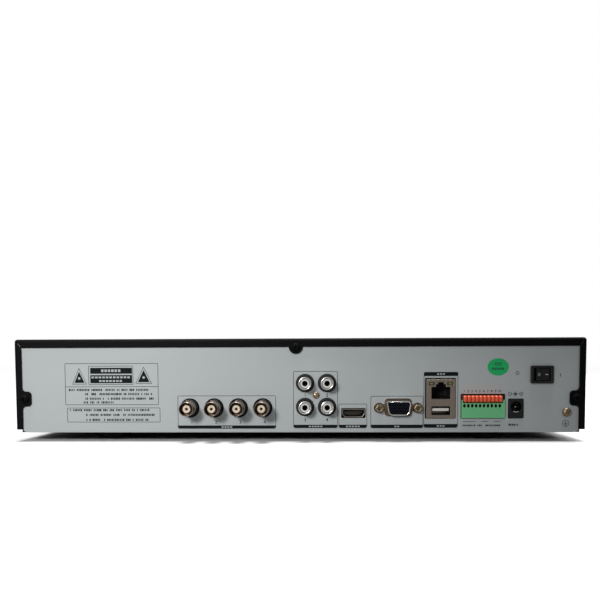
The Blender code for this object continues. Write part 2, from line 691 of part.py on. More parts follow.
def build_phono_block():
    """Four audio sockets in one moulded housing, each with its own plated sleeve."""
    mesh = bmesh.new()
    margin = 8.5 * MM
    back, front = PHONO_BACK_Y, PANEL_BACK_Y - GAP
    add_box(mesh, (PHONO_X[1] - margin, back, SEAT_Z), (PHONO_X[0] + margin, front, PHONO_Z[0] + margin))
    housing = sheet_object("phono_housing", mesh, black_plastic())
    centres = [(x, z) for z in PHONO_Z for x in PHONO_X]
    collars = bmesh.new()
    for centre in centres:
        add_prism(collars, circle(centre, PHONO_COLLAR_RADIUS), front - MM, PANEL_Y + 1.2 * MM)
    combine(housing, collars, "UNION")
    bores = bmesh.new()
    for centre in centres:
        add_prism(bores, circle(centre, PHONO_SLEEVE_RADIUS + GAP), back + 8 * MM, PANEL_Y + 5 * MM)
    add_prism(bores, circle(phono_screw_place(), 1.8 * MM, 12), back + 8 * MM, PANEL_Y + 5 * MM)
    combine(housing, bores, "DIFFERENCE")
    tip = PANEL_Y + PHONO_SLEEVE_PROUD
    outer, hole = PHONO_SLEEVE_RADIUS, 1.75 * MM
    profile = [
        (0, tip - 8 * MM),
        (hole, tip - 8 * MM),
        (hole, tip - 0.5 * MM),
        (3.4 * MM, tip - 0.5 * MM),
        (3.4 * MM, tip),
        (outer - 0.2 * MM, tip),
        (outer, tip - 0.2 * MM),
        (outer, back + 8.4 * MM),
        (0, back + 8.4 * MM),
    ]
    for index, (x, z) in enumerate(centres):
        mesh = bmesh.new()
        add_turned(mesh, profile, (x, 0, z))
        shade_round(sheet_object(f"phono_sleeve_{index + 1}", mesh, nickel()))


def build_hd_out():
    """Flat digital picture socket: folded shell and the contact tongue inside it."""
    centre = (HD_OUT_X, HD_OUT_Z)
    front = PANEL_Y + 0.6 * MM
    mesh = bmesh.new()
    add_prism(mesh, tapered_socket(centre, HD_OUT_SHELL, 11.4 * MM, 2.0 * MM), HD_OUT_BACK_Y, front)
    shell = sheet_object("hd_out_shell", mesh, nickel())
    cuts = bmesh.new()
    mouth = tapered_socket(centre, grown(HD_OUT_SHELL, -0.9 * MM), 10.8 * MM, 1.8 * MM)
    add_prism(cuts, mouth, HD_OUT_BACK_Y + 3 * MM, front + MM)
    combine(shell, cuts, "DIFFERENCE")
    seat = bmesh.new()
    add_box(
        seat,
        (HD_OUT_X - 5 * MM, HD_OUT_BACK_Y + 0.5 * MM, SEAT_Z),
        (HD_OUT_X + 5 * MM, PANEL_Y - 4 * MM, HD_OUT_Z - 2.5 * MM),
    )
    combine(shell, seat, "UNION")
    mesh = bmesh.new()
    add_box(
        mesh,
        (HD_OUT_X - 6 * MM, HD_OUT_BACK_Y + 3 * MM + GAP, HD_OUT_Z + 0.1 * MM),
        (HD_OUT_X + 6 * MM, front - MM, HD_OUT_Z + 1.2 * MM),
    )
    sheet_object("hd_out_tongue", mesh, finish("dark_insert", (0.05, 0.05, 0.055), 0.5))


def jackscrew_places():
    return (VIDEO_X + JACKSCREW_SPACING / 2, VIDEO_X - JACKSCREW_SPACING / 2)


def build_video_socket():
    """Fifteen-way video socket: plated shell with flange, moulded insert and two jackscrews."""
    flange_back, flange_front = PANEL_BACK_Y - 1.2 * MM, PANEL_BACK_Y - GAP
    tip = PANEL_Y + 5 * MM
    mesh = bmesh.new()
    flange = rounded_box((VIDEO_X, VIDEO_Z), (31 * MM, 12.4 * MM), 1.2 * MM)
    add_prism(mesh, flange, flange_back, flange_front)
    shell = sheet_object("video_socket_shell", mesh, nickel())
    nose = bmesh.new()
    add_prism(nose, video_outline((16.4 * MM, 9.6 * MM), 2.8 * MM), flange_back + 0.1 * MM, tip)
    combine(shell, nose, "UNION")
    cuts = bmesh.new()
    add_prism(cuts, video_outline((14.6 * MM, 7.8 * MM), 2.0 * MM), flange_back - MM, tip + MM)
    for x in jackscrew_places():
        add_prism(cuts, circle((x, VIDEO_Z), 1.6 * MM, 16), flange_back - MM, flange_front + MM)
    combine(shell, cuts, "DIFFERENCE")
    mesh = bmesh.new()
    back = flange_back - GAP
    add_box(mesh, (VIDEO_X - 15 * MM, VIDEO_BACK_Y, SEAT_Z), (VIDEO_X + 15 * MM, back, VIDEO_Z + 6 * MM))
    blue_black = finish("blue_black_insert", (0.012, 0.014, 0.03), 0.5)
    insert = sheet_object("video_socket_insert", mesh, blue_black)
    face = bmesh.new()
    add_prism(face, video_outline((13.9 * MM, 7.1 * MM), 1.7 * MM), back - MM, tip - 0.8 * MM)
    combine(insert, face, "UNION")
    for side, x in zip(("left", "right"), jackscrew_places()):
        centre = (x, VIDEO_Z)
        mesh = bmesh.new()
        add_prism(mesh, circle(centre, 2.75 * MM, 6), flange_front + GAP, PANEL_Y + 4.6 * MM)
        jackscrew = sheet_object(f"video_jackscrew_{side}", mesh, nickel())
        shank = bmesh.new()
        add_prism(shank, circle(centre, 1.25 * MM, 12), flange_back - 0.1 * MM, flange_front + MM)
        combine(jackscrew, shank, "UNION")
        thread = bmesh.new()
        add_prism(thread, circle(centre, 1.4 * MM, 12), PANEL_Y + 0.6 * MM, PANEL_Y + 6 * MM)
        combine(jackscrew, thread, "DIFFERENCE")


def network_opening():
    """Outline of the network socket's mouth with its stepped latch slot on top."""
    width, height = NETWORK_OPENING
    low, high = NETWORK_OPENING_Z - height / 2, NETWORK_OPENING_Z + height / 2
    steps = [(width / 2, low), (width / 2, high), (3.3 * MM, high), (3.3 * MM, high + 1.8 * MM)]
    steps += [(1.9 * MM, high + 1.8 * MM), (1.9 * MM, high + 3.1 * MM)]
    right = [(NETWORK_X + x, z) for x, z in steps]
    left = [(NETWORK_X - x, z) for x, z in reversed(steps)]
    return right + left


def build_network_and_bus():
    """Stacked network and bus sockets in one plated housing, and the bus socket's tongue."""
    half = NETWORK_SHELL[0] / 2
    front = PANEL_Y + 1.0 * MM
    mesh = bmesh.new()
    add_box(mesh, (NETWORK_X - half, NETWORK_BACK_Y, SEAT_Z), (NETWORK_X + half, front, NETWORK_SHELL[1]))
    housing = sheet_object("network_bus_housing", mesh, nickel())
    cuts = bmesh.new()
    add_prism(cuts, network_opening(), front - 13.5 * MM, front + MM)
    add_prism(cuts, box_outline((NETWORK_X, BUS_OPENING_Z), BUS_OPENING), front - 12 * MM, front + MM)
    for side in (1, -1):
        lamp = (NETWORK_X + side * 6.0 * MM, NETWORK_OPENING_Z + 6.1 * MM)
        add_prism(cuts, box_outline(lamp, (3.9 * MM, 1.9 * MM)), front - MM, front + MM)
    combine(housing, cuts, "DIFFERENCE")
    mesh = bmesh.new()
    low = BUS_OPENING_Z - 0.2 * MM
    add_box(
        mesh,
        (NETWORK_X - 5.35 * MM, front - 11.7 * MM, low),
        (NETWORK_X + 5.35 * MM, front - 1.2 * MM, low + 1.8 * MM),
    )
    sheet_object("bus_tongue", mesh, finish("white_insert", (0.7, 0.66, 0.62), 0.45))


def lever_places():
    return [LEVER_FIRST_X - index * LEVER_PITCH for index in range(LEVER_COUNT)]


def build_terminal():
    """Ten-way wire terminal: green body with a pocket and wire holes, and its ten levers."""
    mesh = bmesh.new()
    face = TERMINAL_FACE_Y
    add_box(mesh, (TERMINAL_X[1], TERMINAL_BACK_Y, SEAT_Z), (TERMINAL_X[0], face, TERMINAL_TOP_Z))
    body = sheet_object("terminal_body", mesh, finish("green_plastic", (0.09, 0.38, 0.14), 0.45))
    cuts = bmesh.new()
    low, shelf = TERMINAL_POCKET_Z
    pocket = [
        (face - 1.2 * MM, low),
        (face - 1.2 * MM, shelf),
        (face + MM, shelf),
        (face + MM, TERMINAL_TOP_Z + MM),
        (TERMINAL_POCKET_BACK_Y, TERMINAL_TOP_Z + MM),
        (TERMINAL_POCKET_BACK_Y, low),
    ]
    add_prism(cuts, pocket, TERMINAL_X[1] + 2 * TERMINAL_RIM, TERMINAL_X[0] - TERMINAL_RIM, "X")
    combine(body, cuts, "DIFFERENCE")
    holes = bmesh.new()
    for x in lever_places():
        hole = rounded_box((x, WIRE_HOLE_Z), WIRE_HOLE, 0.8 * MM, 2)
        add_prism(holes, hole, face - 2 * MM, face + MM)
    combine(body, holes, "DIFFERENCE")
    steps = bmesh.new()
    for start, end in (
        (TERMINAL_X[1] - MM, TERMINAL_X[1] + 1.5 * TERMINAL_RIM),
        (TERMINAL_X[0] - 0.5 * TERMINAL_RIM, TERMINAL_X[0] + MM),
    ):
        add_box(steps, (start, face - 1.5 * MM, TERMINAL_STEP_Z), (end, face + MM, TERMINAL_TOP_Z + MM))
    combine(body, steps, "DIFFERENCE")
    for index, x in enumerate(lever_places()):
        build_lever(index, x)


def build_lever(index, x):
    """One lever, bent over the body's front wall, hinged low down inside the pocket."""
    pivot_y, pivot_z = LEVER_PIVOT
    tip_y = TERMINAL_FACE_Y + 2.6 * MM
    top = LEVER_TOP_Z
    side_view = arc((pivot_y, pivot_z), 1.1 * MM, 200, 330, 3)
    side_view += [
        (pivot_y + 3.2 * MM, top - 2.4 * MM),
        (TERMINAL_FACE_Y + 0.5 * MM, top - 2.4 * MM),
        (TERMINAL_FACE_Y + 0.5 * MM, top - 4.1 * MM),
        (tip_y - 0.5 * MM, top - 4.1 * MM),
        (tip_y, top - 3.6 * MM),
        (tip_y, top - 0.6 * MM),
        (tip_y - 0.7 * MM, top),
        (pivot_y + 1.6 * MM, top),
    ]
    mesh = bmesh.new()
    add_prism(mesh, side_view, x - LEVER_WIDTH / 2, x + LEVER_WIDTH / 2, "X")
    orange = finish("orange_plastic", (0.65, 0.07, 0.02), 0.4)
    lever = sheet_object(f"terminal_lever_{index + 1}", mesh, orange)
    put_origin(lever, (x, pivot_y, pivot_z))


def build_power_inlet():
    """Barrel power inlet: moulded body and the centre pin."""
    face = PANEL_Y + 1.0 * MM
    floor = face - 9.5 * MM
    mesh = bmesh.new()
    middle = (POWER_IN_X, SEAT_Z + POWER_IN_SIZE[1] / 2)
    add_prism(mesh, rounded_box(middle, POWER_IN_SIZE, 0.9 * MM), POWER_IN_BACK_Y, face)
    body = sheet_object("power_inlet_body", mesh, black_plastic())
    cuts = bmesh.new()
    add_prism(cuts, circle((POWER_IN_X, POWER_IN_BORE_Z), POWER_IN_BORE_RADIUS), floor, face + MM)
    combine(body, cuts, "DIFFERENCE")
    profile = [
        (0, floor + GAP),
        (1 * MM, floor + GAP),
        (1 * MM, face - 1.4 * MM),
        (0.6 * MM, face - MM),
        (0, face - MM),
    ]
    mesh = bmesh.new()
    add_turned(mesh, profile, (POWER_IN_X, 0, POWER_IN_BORE_Z), steps=12)
    shade_round(sheet_object("power_inlet_pin", mesh, nickel()))


def build_power_switch():
    """Panel switch: bezel and body in one moulding, and a rocker that tips about an upright pin."""
    mesh = bmesh.new()
    low = PANEL_Y + GAP
    add_prism(mesh, rounded_box((SWITCH_X, SWITCH_Z), SWITCH_BEZEL, 0.8 * MM), low, SWITCH_FACE_Y)
    body = sheet_object("power_switch_body", mesh, black_plastic())
    inner = bmesh.new()
    add_prism(inner, box_outline((SWITCH_X, SWITCH_Z), SWITCH_CASE), SWITCH_BACK_Y, low + 0.5 * MM)
    combine(body, inner, "UNION")
    cuts = bmesh.new()
    pocket = box_outline((SWITCH_X, SWITCH_Z), SWITCH_POCKET)
    add_prism(cuts, pocket, PANEL_Y - 7 * MM, SWITCH_FACE_Y + MM)
    combine(body, cuts, "DIFFERENCE")
    mesh = bmesh.new()
    half = SWITCH_POCKET[1] / 2 - GAP
    add_prism(mesh, [(x * MM, y * MM) for x, y in ROCKER_TOP_VIEW], -half, half, "Z")
    rocker = sheet_object("power_rocker", mesh, finish("dark_grey_plastic", (0.03, 0.03, 0.032), 0.35))
    rocker.location = (SWITCH_X, ROCKER_PIVOT_Y, SWITCH_Z)
    rocker.rotation_euler.z = ROCKER_REST_TILT


# ----------------------------------------------------------------- fasteners
def add_screw(name, place, seat_y, head, look):
    """A pan-head screw pointing into the box; head is its (radius, height)."""
    radius, height = head
    profile = [
        (0, seat_y - SHANK_LENGTH),
        (SHANK_RADIUS, seat_y - SHANK_LENGTH),
        (SHANK_RADIUS, seat_y),
        (radius, seat_y),
        (radius, seat_y + height * 0.5),
        (radius - 0.9 * MM, seat_y + height),
        (0, seat_y + height),
    ]
    mesh = bmesh.new()
    add_turned(mesh, profile, (place[0], 0, place[1]), steps=18)
    shade_round(sheet_object(name, mesh, look))


def build_screws():
    for name, place in cover_screw_places().items():
        add_screw(name, place, LIP_OUTER_Y + GAP, COVER_SCREW_HEAD, black_steel())
    zinc = finish("passivated_zinc", (0.72, 0.58, 0.36), 0.3, 1.0)
    add_screw("ground_screw", (GROUND_SCREW_X, GROUND_SCREW_Z), PANEL_Y + GAP, GROUND_SCREW_HEAD, zinc)
    add_screw("phono_screw", phono_screw_place(), PANEL_Y + GAP, PHONO_SCREW_HEAD, nickel())


# ---------------------------------------------------------------- inner parts
def build_main_board():
    mesh = bmesh.new()
    add_box(mesh, (BOARD_X[0], BOARD_Y[0], BOARD_BOTTOM_Z), (BOARD_X[1], BOARD_Y[1], BOARD_TOP_Z))
    board = sheet_object("main_board", mesh, board_green())
    chips = bmesh.new()
    sunk = BOARD_TOP_Z - 0.3 * MM
    for x, y, width, depth, height in BOARD_CHIPS:
        low = ((x - width / 2) * MM, (y - depth / 2) * MM, sunk)
        high = ((x + width / 2) * MM, (y + depth / 2) * MM, BOARD_TOP_Z + height * MM)
        add_box(chips, low, high)
    for place in CAPACITOR_PLACES:
        add_post(chips, place, CAPACITOR_SIZE[0], sunk, sunk + CAPACITOR_SIZE[1])
    combine(board, chips, "UNION")


def build_heat_sink():
    """Finned block over the main processor, one comb outline extruded."""
    width, base, fin, count = 40 * MM, 3 * MM, 1.4 * MM, 9
    low = BOARD_TOP_Z + 1.5 * MM + GAP
    left = HEAT_SINK_X - width / 2
    pitch = (width - fin) / (count - 1)
    outline = [(left, low)]
    for index in range(count):
        start = left + index * pitch
        foot = low + base
        tip = low + 14 * MM
        if index:
            outline.append((start, foot))
        outline += [(start, tip), (start + fin, tip)]
        if index < count - 1:
            outline.append((start + fin, foot))
    outline.append((left + width, low))
    mesh = bmesh.new()
    add_prism(mesh, outline, *HEAT_SINK_Y)
    sheet_object("heat_sink", mesh, finish("black_anodised_aluminium", (0.03, 0.03, 0.03), 0.4, 0.8))


def build_drive():
    def upright(middle, along):
        return abs(along.z) > 0.5

    mesh = bevel_box(DRIVE_CORNER, DRIVE_CORNER + DRIVE_SIZE, 2 * MM, upright, 2)
    sheet_object("hard_drive", mesh, finish("cast_aluminium", (0.55, 0.56, 0.57), 0.4, 1.0))


def build_drive_cable():
    """Signal lead from the drive to its header on the main board, on one smooth curve."""
    start = Vector((-100 * MM, DRIVE_CORNER.y + DRIVE_SIZE.y + 2 * GAP, DRIVE_CORNER.z + 8 * MM))
    end = Vector((-64 * MM, 49 * MM - 2 * GAP, BOARD_TOP_Z + 4 * MM))
    count = 14
    curve = bpy.data.curves.new("drive_cable", "CURVE")
    curve.dimensions = "3D"
    curve.bevel_depth = 1.8 * MM
    curve.bevel_resolution = 2
    curve.use_fill_caps = True
    line = curve.splines.new("POLY")
    line.points.add(count - 1)
    for index, point in enumerate(line.points):
        share = index / (count - 1)
        sweep = share * share * (3 - 2 * share)
        spot = start.lerp(end, share)
        spot.x = start.x + (end.x - start.x) * sweep
        spot.z = start.z + (end.z - start.z) * sweep
        point.co = (*spot, 1)
    cable = bpy.data.objects.new("drive_cable", curve)
    bpy.context.scene.collection.objects.link(cable)
    curve.materials.append(finish("red_cable", (0.4, 0.02, 0.02), 0.5))


def build_clock_battery():
    mesh = bmesh.new()
    low = BOARD_TOP_Z + GAP
    high = low + 3.2 * MM
    profile = [(0, low), (9 * MM, low), (10 * MM, low + MM), (10 * MM, high), (0, high)]
    add_turned(mesh, profile, BATTERY_PLACE, "Z")
    shade_round(sheet_object("clock_battery", mesh, nickel()))


def clear_scene():
    for thing in list(bpy.data.objects):
        bpy.data.objects.remove(thing, do_unlink=True)


def main():
    clear_scene()
    for build in (
        build_tray, build_rear_panel, build_cover, build_fascia, build_window, build_feet, build_screws,
        build_camera_sockets, build_phono_block, build_hd_out, build_video_socket, build_network_and_bus,
        build_terminal, build_power_inlet, build_power_switch, build_front_buttons, build_front_board,
        build_main_board, build_heat_sink, build_drive, build_drive_cable, build_clock_battery,
    ):
        build()


main()
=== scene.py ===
"""Looks of a desktop video recorder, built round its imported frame.

Each sub-assembly is a class with its sizes as fields.  The connector panel faces
+Y and the fascia faces -Y.  All sizes are in metres.
"""
import json
import logging
import math
from dataclasses import dataclass, field
from enum import Enum
from typing import Callable, Sequence

import bmesh
import bpy
from mathutils import Matrix, Vector


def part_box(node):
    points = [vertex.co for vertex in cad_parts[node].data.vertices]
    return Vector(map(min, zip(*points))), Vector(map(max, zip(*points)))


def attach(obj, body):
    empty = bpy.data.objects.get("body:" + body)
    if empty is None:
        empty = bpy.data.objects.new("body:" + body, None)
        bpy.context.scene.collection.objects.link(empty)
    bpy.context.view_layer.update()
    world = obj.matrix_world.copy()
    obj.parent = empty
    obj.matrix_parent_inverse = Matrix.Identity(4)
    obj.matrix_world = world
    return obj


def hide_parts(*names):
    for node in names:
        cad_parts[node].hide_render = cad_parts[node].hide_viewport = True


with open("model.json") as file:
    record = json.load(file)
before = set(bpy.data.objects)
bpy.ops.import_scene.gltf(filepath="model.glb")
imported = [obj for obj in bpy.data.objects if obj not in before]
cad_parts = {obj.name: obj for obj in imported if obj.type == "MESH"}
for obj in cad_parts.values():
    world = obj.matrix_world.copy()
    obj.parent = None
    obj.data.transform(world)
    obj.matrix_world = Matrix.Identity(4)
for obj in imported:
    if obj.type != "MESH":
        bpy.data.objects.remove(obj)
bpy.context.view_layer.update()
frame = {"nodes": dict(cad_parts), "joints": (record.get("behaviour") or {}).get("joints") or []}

MM = 0.001
LOG = logging.getLogger("recorder")
Point2 = tuple[float, float]
Edges = tuple[float, float, float, float]
Colour = tuple[float, float, float]
Solid = bmesh.types.BMesh
Face = bmesh.types.BMFace
Group = bpy.types.NodeTree
Socket = bpy.types.NodeSocket
Node = bpy.types.Node

PANEL_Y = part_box("rear_panel")[1].y
BASE_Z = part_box("rear_panel")[0].z


class Axis(Enum):
    """Direction that an outline is extruded along; the value orders its coordinates."""

    X = (2, 0, 1)
    Y = (0, 2, 1)
    Z = (0, 1, 2)

    def place(self, first: float, second: float, along: float) -> Vector:
        """Return the point for two outline coordinates and a place along the axis."""
        given = (first, second, along)
        return Vector([given[index] for index in self.value])


class Noise(Enum):
    """How a finish's fine grain is stretched, as scale factors for X, Y and Z."""

    EVEN = (1.0, 1.0, 1.0)
    TURNED_Y = (1.0, 0.04, 1.0)


def panel_point(across: float, up: float) -> Point2:
    """Return (x, z) for millimetres to the viewer's right of the middle and above the panel's foot."""
    return (-across * MM, BASE_Z + up * MM)


def middle_of(node: str) -> Vector:
    """Return the middle of a CAD node's box."""
    low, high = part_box(node)
    return (low + high) / 2


# ------------------------------------------------------------------ shader groups
class ShaderGroups:
    """Node groups shared by the materials, each built once and kept by name."""

    FINE_DETAIL = 3.0
    PATCH_DETAIL = 5.0
    BEVEL_SAMPLES = 4
    EDGE_GAIN = 6.0
    DUST_SCALE = 45.0
    DUST_DETAIL = 8.0

    @staticmethod
    def _new(
        name: str, inputs: Sequence[tuple[str, str, object]], outputs: Sequence[tuple[str, str]]
    ) -> tuple[Group, Node, Node]:
        """Create an empty group with its sockets.

        Args:
            name: the group's name.
            inputs: (name, socket type, default) for each input.
            outputs: (name, socket type) for each output.

        Returns:
            The group, its input node and its output node.
        """
        group = bpy.data.node_groups.new(name, "ShaderNodeTree")
        for label, kind, default in inputs:
            socket = group.interface.new_socket(label, in_out="INPUT", socket_type=kind)
            socket.default_value = default
        for label, kind in outputs:
            group.interface.new_socket(label, in_out="OUTPUT", socket_type=kind)
        return group, group.nodes.new("NodeGroupInput"), group.nodes.new("NodeGroupOutput")

    @staticmethod
    def _noise(group: Group, vector: Socket, scale: Socket | float, detail: float = 4.0) -> Socket:
        """Add a noise texture on a vector, its scale a number or a socket."""
        noise = group.nodes.new("ShaderNodeTexNoise")
        noise.inputs["Detail"].default_value = detail
        group.links.new(vector, noise.inputs["Vector"])
        if isinstance(scale, float):
            noise.inputs["Scale"].default_value = scale
        else:
            group.links.new(scale, noise.inputs["Scale"])
        return noise.outputs["Fac"]

    @staticmethod
    def _math(
        group: Group, operation: str, first: Socket | float, second: Socket | float, clamp: bool = False
    ) -> Socket:
        """Add a math node; each operand is a number or a socket."""
        node = group.nodes.new("ShaderNodeMath")
        node.operation = operation
        node.use_clamp = clamp
        for index, value in enumerate((first, second)):
            if isinstance(value, (int, float)):
                node.inputs[index].default_value = value
            else:
                group.links.new(value, node.inputs[index])
        return node.outputs[0]

    @staticmethod
    def _mix(group: Group, factor: Socket, first: Socket, second: Socket) -> Socket:
        """Add a colour mix; the factor is a socket and each colour is a socket."""
        node = group.nodes.new("ShaderNodeMix")
        node.data_type = "RGBA"
        group.links.new(factor, node.inputs["Factor"])
        group.links.new(first, node.inputs["A"])
        group.links.new(second, node.inputs["B"])
        return node.outputs["Result"]

    @classmethod
    def grain(cls) -> Group:
        """Return the group for fine grain: mottled colour, roughness and height."""
        if "surface_grain" in bpy.data.node_groups:
            return bpy.data.node_groups["surface_grain"]
        group, given, out = cls._new(
            "surface_grain",
            (
                ("Colour", "NodeSocketColor", (0.5, 0.5, 0.5, 1)),
                ("Shade", "NodeSocketColor", (0.4, 0.4, 0.4, 1)),
                ("Stretch", "NodeSocketVector", (1, 1, 1)),
                ("Grain Scale", "NodeSocketFloat", 2000.0),
                ("Patch Scale", "NodeSocketFloat", 30.0),
                ("Patch Amount", "NodeSocketFloat", 0.3),
                ("Roughness", "NodeSocketFloat", 0.4),
                ("Roughness Spread", "NodeSocketFloat", 0.1),
            ),
            (("Colour", "NodeSocketColor"), ("Roughness", "NodeSocketFloat"), ("Height", "NodeSocketFloat")),
        )
        place = group.nodes.new("ShaderNodeTexCoord").outputs["Object"]
        stretch = group.nodes.new("ShaderNodeVectorMath")
        stretch.operation = "MULTIPLY"
        group.links.new(place, stretch.inputs[0])
        group.links.new(given.outputs["Stretch"], stretch.inputs[1])
        fine = cls._noise(group, stretch.outputs[0], given.outputs["Grain Scale"], cls.FINE_DETAIL)
        patch = cls._noise(group, place, given.outputs["Patch Scale"], cls.PATCH_DETAIL)
        share = cls._math(group, "MULTIPLY", patch, given.outputs["Patch Amount"], True)
        colour = cls._mix(group, share, given.outputs["Colour"], given.outputs["Shade"])
        group.links.new(colour, out.inputs["Colour"])
        both = cls._math(group, "ADD", fine, patch)
        centred = cls._math(group, "SUBTRACT", both, 1.0)
        spread = cls._math(group, "MULTIPLY", centred, given.outputs["Roughness Spread"])
        rough = cls._math(group, "ADD", spread, given.outputs["Roughness"], True)
        group.links.new(rough, out.inputs["Roughness"])
        group.links.new(fine, out.inputs["Height"])
        return group

    @classmethod
    def edge_wear(cls) -> Group:
        """Return the group that finds convex edges and breaks them up with noise."""
        if "edge_wear" in bpy.data.node_groups:
            return bpy.data.node_groups["edge_wear"]
        group, given, out = cls._new(
            "edge_wear",
            (
                ("Colour", "NodeSocketColor", (0.5, 0.5, 0.5, 1)),
                ("Worn Colour", "NodeSocketColor", (0.7, 0.7, 0.7, 1)),
                ("Radius", "NodeSocketFloat", 0.0004),
                ("Amount", "NodeSocketFloat", 0.5),
                ("Break Scale", "NodeSocketFloat", 300.0),
            ),
            (("Colour", "NodeSocketColor"), ("Mask", "NodeSocketFloat")),
        )
        place = group.nodes.new("ShaderNodeTexCoord").outputs["Object"]
        bevel = group.nodes.new("ShaderNodeBevel")
        bevel.samples = cls.BEVEL_SAMPLES
        group.links.new(given.outputs["Radius"], bevel.inputs["Radius"])
        surface = group.nodes.new("ShaderNodeNewGeometry")
        same = group.nodes.new("ShaderNodeVectorMath")
        same.operation = "DOT_PRODUCT"
        group.links.new(bevel.outputs[0], same.inputs[0])
        group.links.new(surface.outputs["Normal"], same.inputs[1])
        edge = cls._math(group, "SUBTRACT", 1.0, same.outputs["Value"], True)
        strong = cls._math(group, "MULTIPLY", edge, cls.EDGE_GAIN, True)
        noise = cls._noise(group, place, given.outputs["Break Scale"])
        broken = cls._math(group, "MULTIPLY", strong, noise)
        mask = cls._math(group, "MULTIPLY", broken, given.outputs["Amount"], True)
        group.links.new(cls._mix(group, mask, given.outputs["Colour"], given.outputs["Worn Colour"]),
                        out.inputs["Colour"])
        group.links.new(mask, out.inputs["Mask"])
        return group

    @classmethod
    def dust(cls) -> Group:
        """Return the group that lays a thin film of dust on faces that look up."""
        if "settled_dust" in bpy.data.node_groups:
            return bpy.data.node_groups["settled_dust"]
        group, given, out = cls._new(
            "settled_dust",
            (
                ("Colour", "NodeSocketColor", (0.5, 0.5, 0.5, 1)),
                ("Dust Colour", "NodeSocketColor", (0.45, 0.43, 0.4, 1)),
                ("Amount", "NodeSocketFloat", 0.1),
                ("Roughness", "NodeSocketFloat", 0.4),
            ),
            (("Colour", "NodeSocketColor"), ("Roughness", "NodeSocketFloat")),
        )
        place = group.nodes.new("ShaderNodeTexCoord").outputs["Object"]
        surface = group.nodes.new("ShaderNodeNewGeometry")
        parts = group.nodes.new("ShaderNodeSeparateXYZ")
        group.links.new(surface.outputs["Normal"], parts.inputs[0])
        noise = cls._noise(group, place, cls.DUST_SCALE, cls.DUST_DETAIL)
        level = cls._math(group, "MULTIPLY", parts.outputs["Z"], noise, True)
        share = cls._math(group, "MULTIPLY", level, given.outputs["Amount"], True)
        group.links.new(cls._mix(group, share, given.outputs["Colour"], given.outputs["Dust Colour"]),
                        out.inputs["Colour"])
        rough = cls._math(group, "ADD", share, given.outputs["Roughness"], True)
        group.links.new(rough, out.inputs["Roughness"])
        return group


# ------------------------------------------------------------------------ finishes
@dataclass(frozen=True)
class Finish:
    """A material made from grain, edge wear and dust, with its own values.

    Attributes:
        name: the material's name.
        colour: main colour, linear.
        shade: colour of the faint patches.
        worn: colour of rubbed edges.
        roughness: mean roughness.
        metallic: 1 for bare metal, 0 for the rest.
        noise: how the fine grain is stretched.
        grain_scale: scale of the fine grain.
        patch_scale: scale of the faint patches.
        patch_amount: how strongly the patches show.
        roughness_spread: how far the roughness varies.
        bump: strength of the grain's relief.
        wear: how much of the edges is rubbed.
        wear_radius: width of the rubbed edges.
        dust: how much dust lies on faces that look up.
        coat: weight of a clear coat.
        glow: strength of a glow of its own.
        specular: level of the dielectric reflection.
    """

    BUMP_HEIGHT = 0.1 * MM

    name: str
    colour: Colour
    shade: Colour
    worn: Colour
    roughness: float
    metallic: float = 0.0
    noise: Noise = Noise.EVEN
    grain_scale: float = 2500.0
    patch_scale: float = 35.0
    patch_amount: float = 0.5
    roughness_spread: float = 0.12
    bump: float = 0.05
    wear: float = 0.4
    wear_radius: float = 0.35 * MM
    dust: float = 0.0
    coat: float = 0.0
    glow: float = 0.0
    specular: float = 0.5

    def material(self) -> bpy.types.Material:
        """Return this finish's material, built the first time."""
        name = f"{self.name}_finish"
        found = bpy.data.materials.get(name)
        if found:
            return found
        made = bpy.data.materials.new(name)
        made.use_nodes = True
        tree = made.node_tree
        shader = tree.nodes["Principled BSDF"]
        grain = self._group(
            tree, ShaderGroups.grain(), Colour=(*self.colour, 1), Shade=(*self.shade, 1),
            Stretch=self.noise.value, Grain_Scale=self.grain_scale, Patch_Scale=self.patch_scale,
            Patch_Amount=self.patch_amount, Roughness=self.roughness, Roughness_Spread=self.roughness_spread,
        )
        wear = self._group(
            tree, ShaderGroups.edge_wear(), Worn_Colour=(*self.worn, 1), Radius=self.wear_radius,
            Amount=self.wear,
        )
        tree.links.new(grain.outputs["Colour"], wear.inputs["Colour"])
        colour, rough = wear.outputs["Colour"], grain.outputs["Roughness"]
        if self.dust:
            dust = self._group(tree, ShaderGroups.dust(), Amount=self.dust)
            tree.links.new(colour, dust.inputs["Colour"])
            tree.links.new(rough, dust.inputs["Roughness"])
            colour, rough = dust.outputs["Colour"], dust.outputs["Roughness"]
        tree.links.new(colour, shader.inputs["Base Color"])
        tree.links.new(rough, shader.inputs["Roughness"])
        bump = tree.nodes.new("ShaderNodeBump")
        bump.inputs["Strength"].default_value = self.bump
        bump.inputs["Distance"].default_value = self.BUMP_HEIGHT
        tree.links.new(grain.outputs["Height"], bump.inputs["Height"])
        tree.links.new(bump.outputs["Normal"], shader.inputs["Normal"])
        shader.inputs["Metallic"].default_value = self.metallic
        shader.inputs["Coat Weight"].default_value = self.coat
        shader.inputs["Specular IOR Level"].default_value = self.specular
        if self.glow:
            tree.links.new(colour, shader.inputs["Emission Color"])
            shader.inputs["Emission Strength"].default_value = self.glow
        return made

    @staticmethod
    def _group(tree: Group, group: Group, **inputs: object) -> Node:
        """Add a group node to a material's tree, its inputs by name with underscores for spaces."""
        node = tree.nodes.new("ShaderNodeGroup")
        node.node_tree = group
        for label, value in inputs.items():
            node.inputs[label.replace("_", " ")].default_value = value
        return node


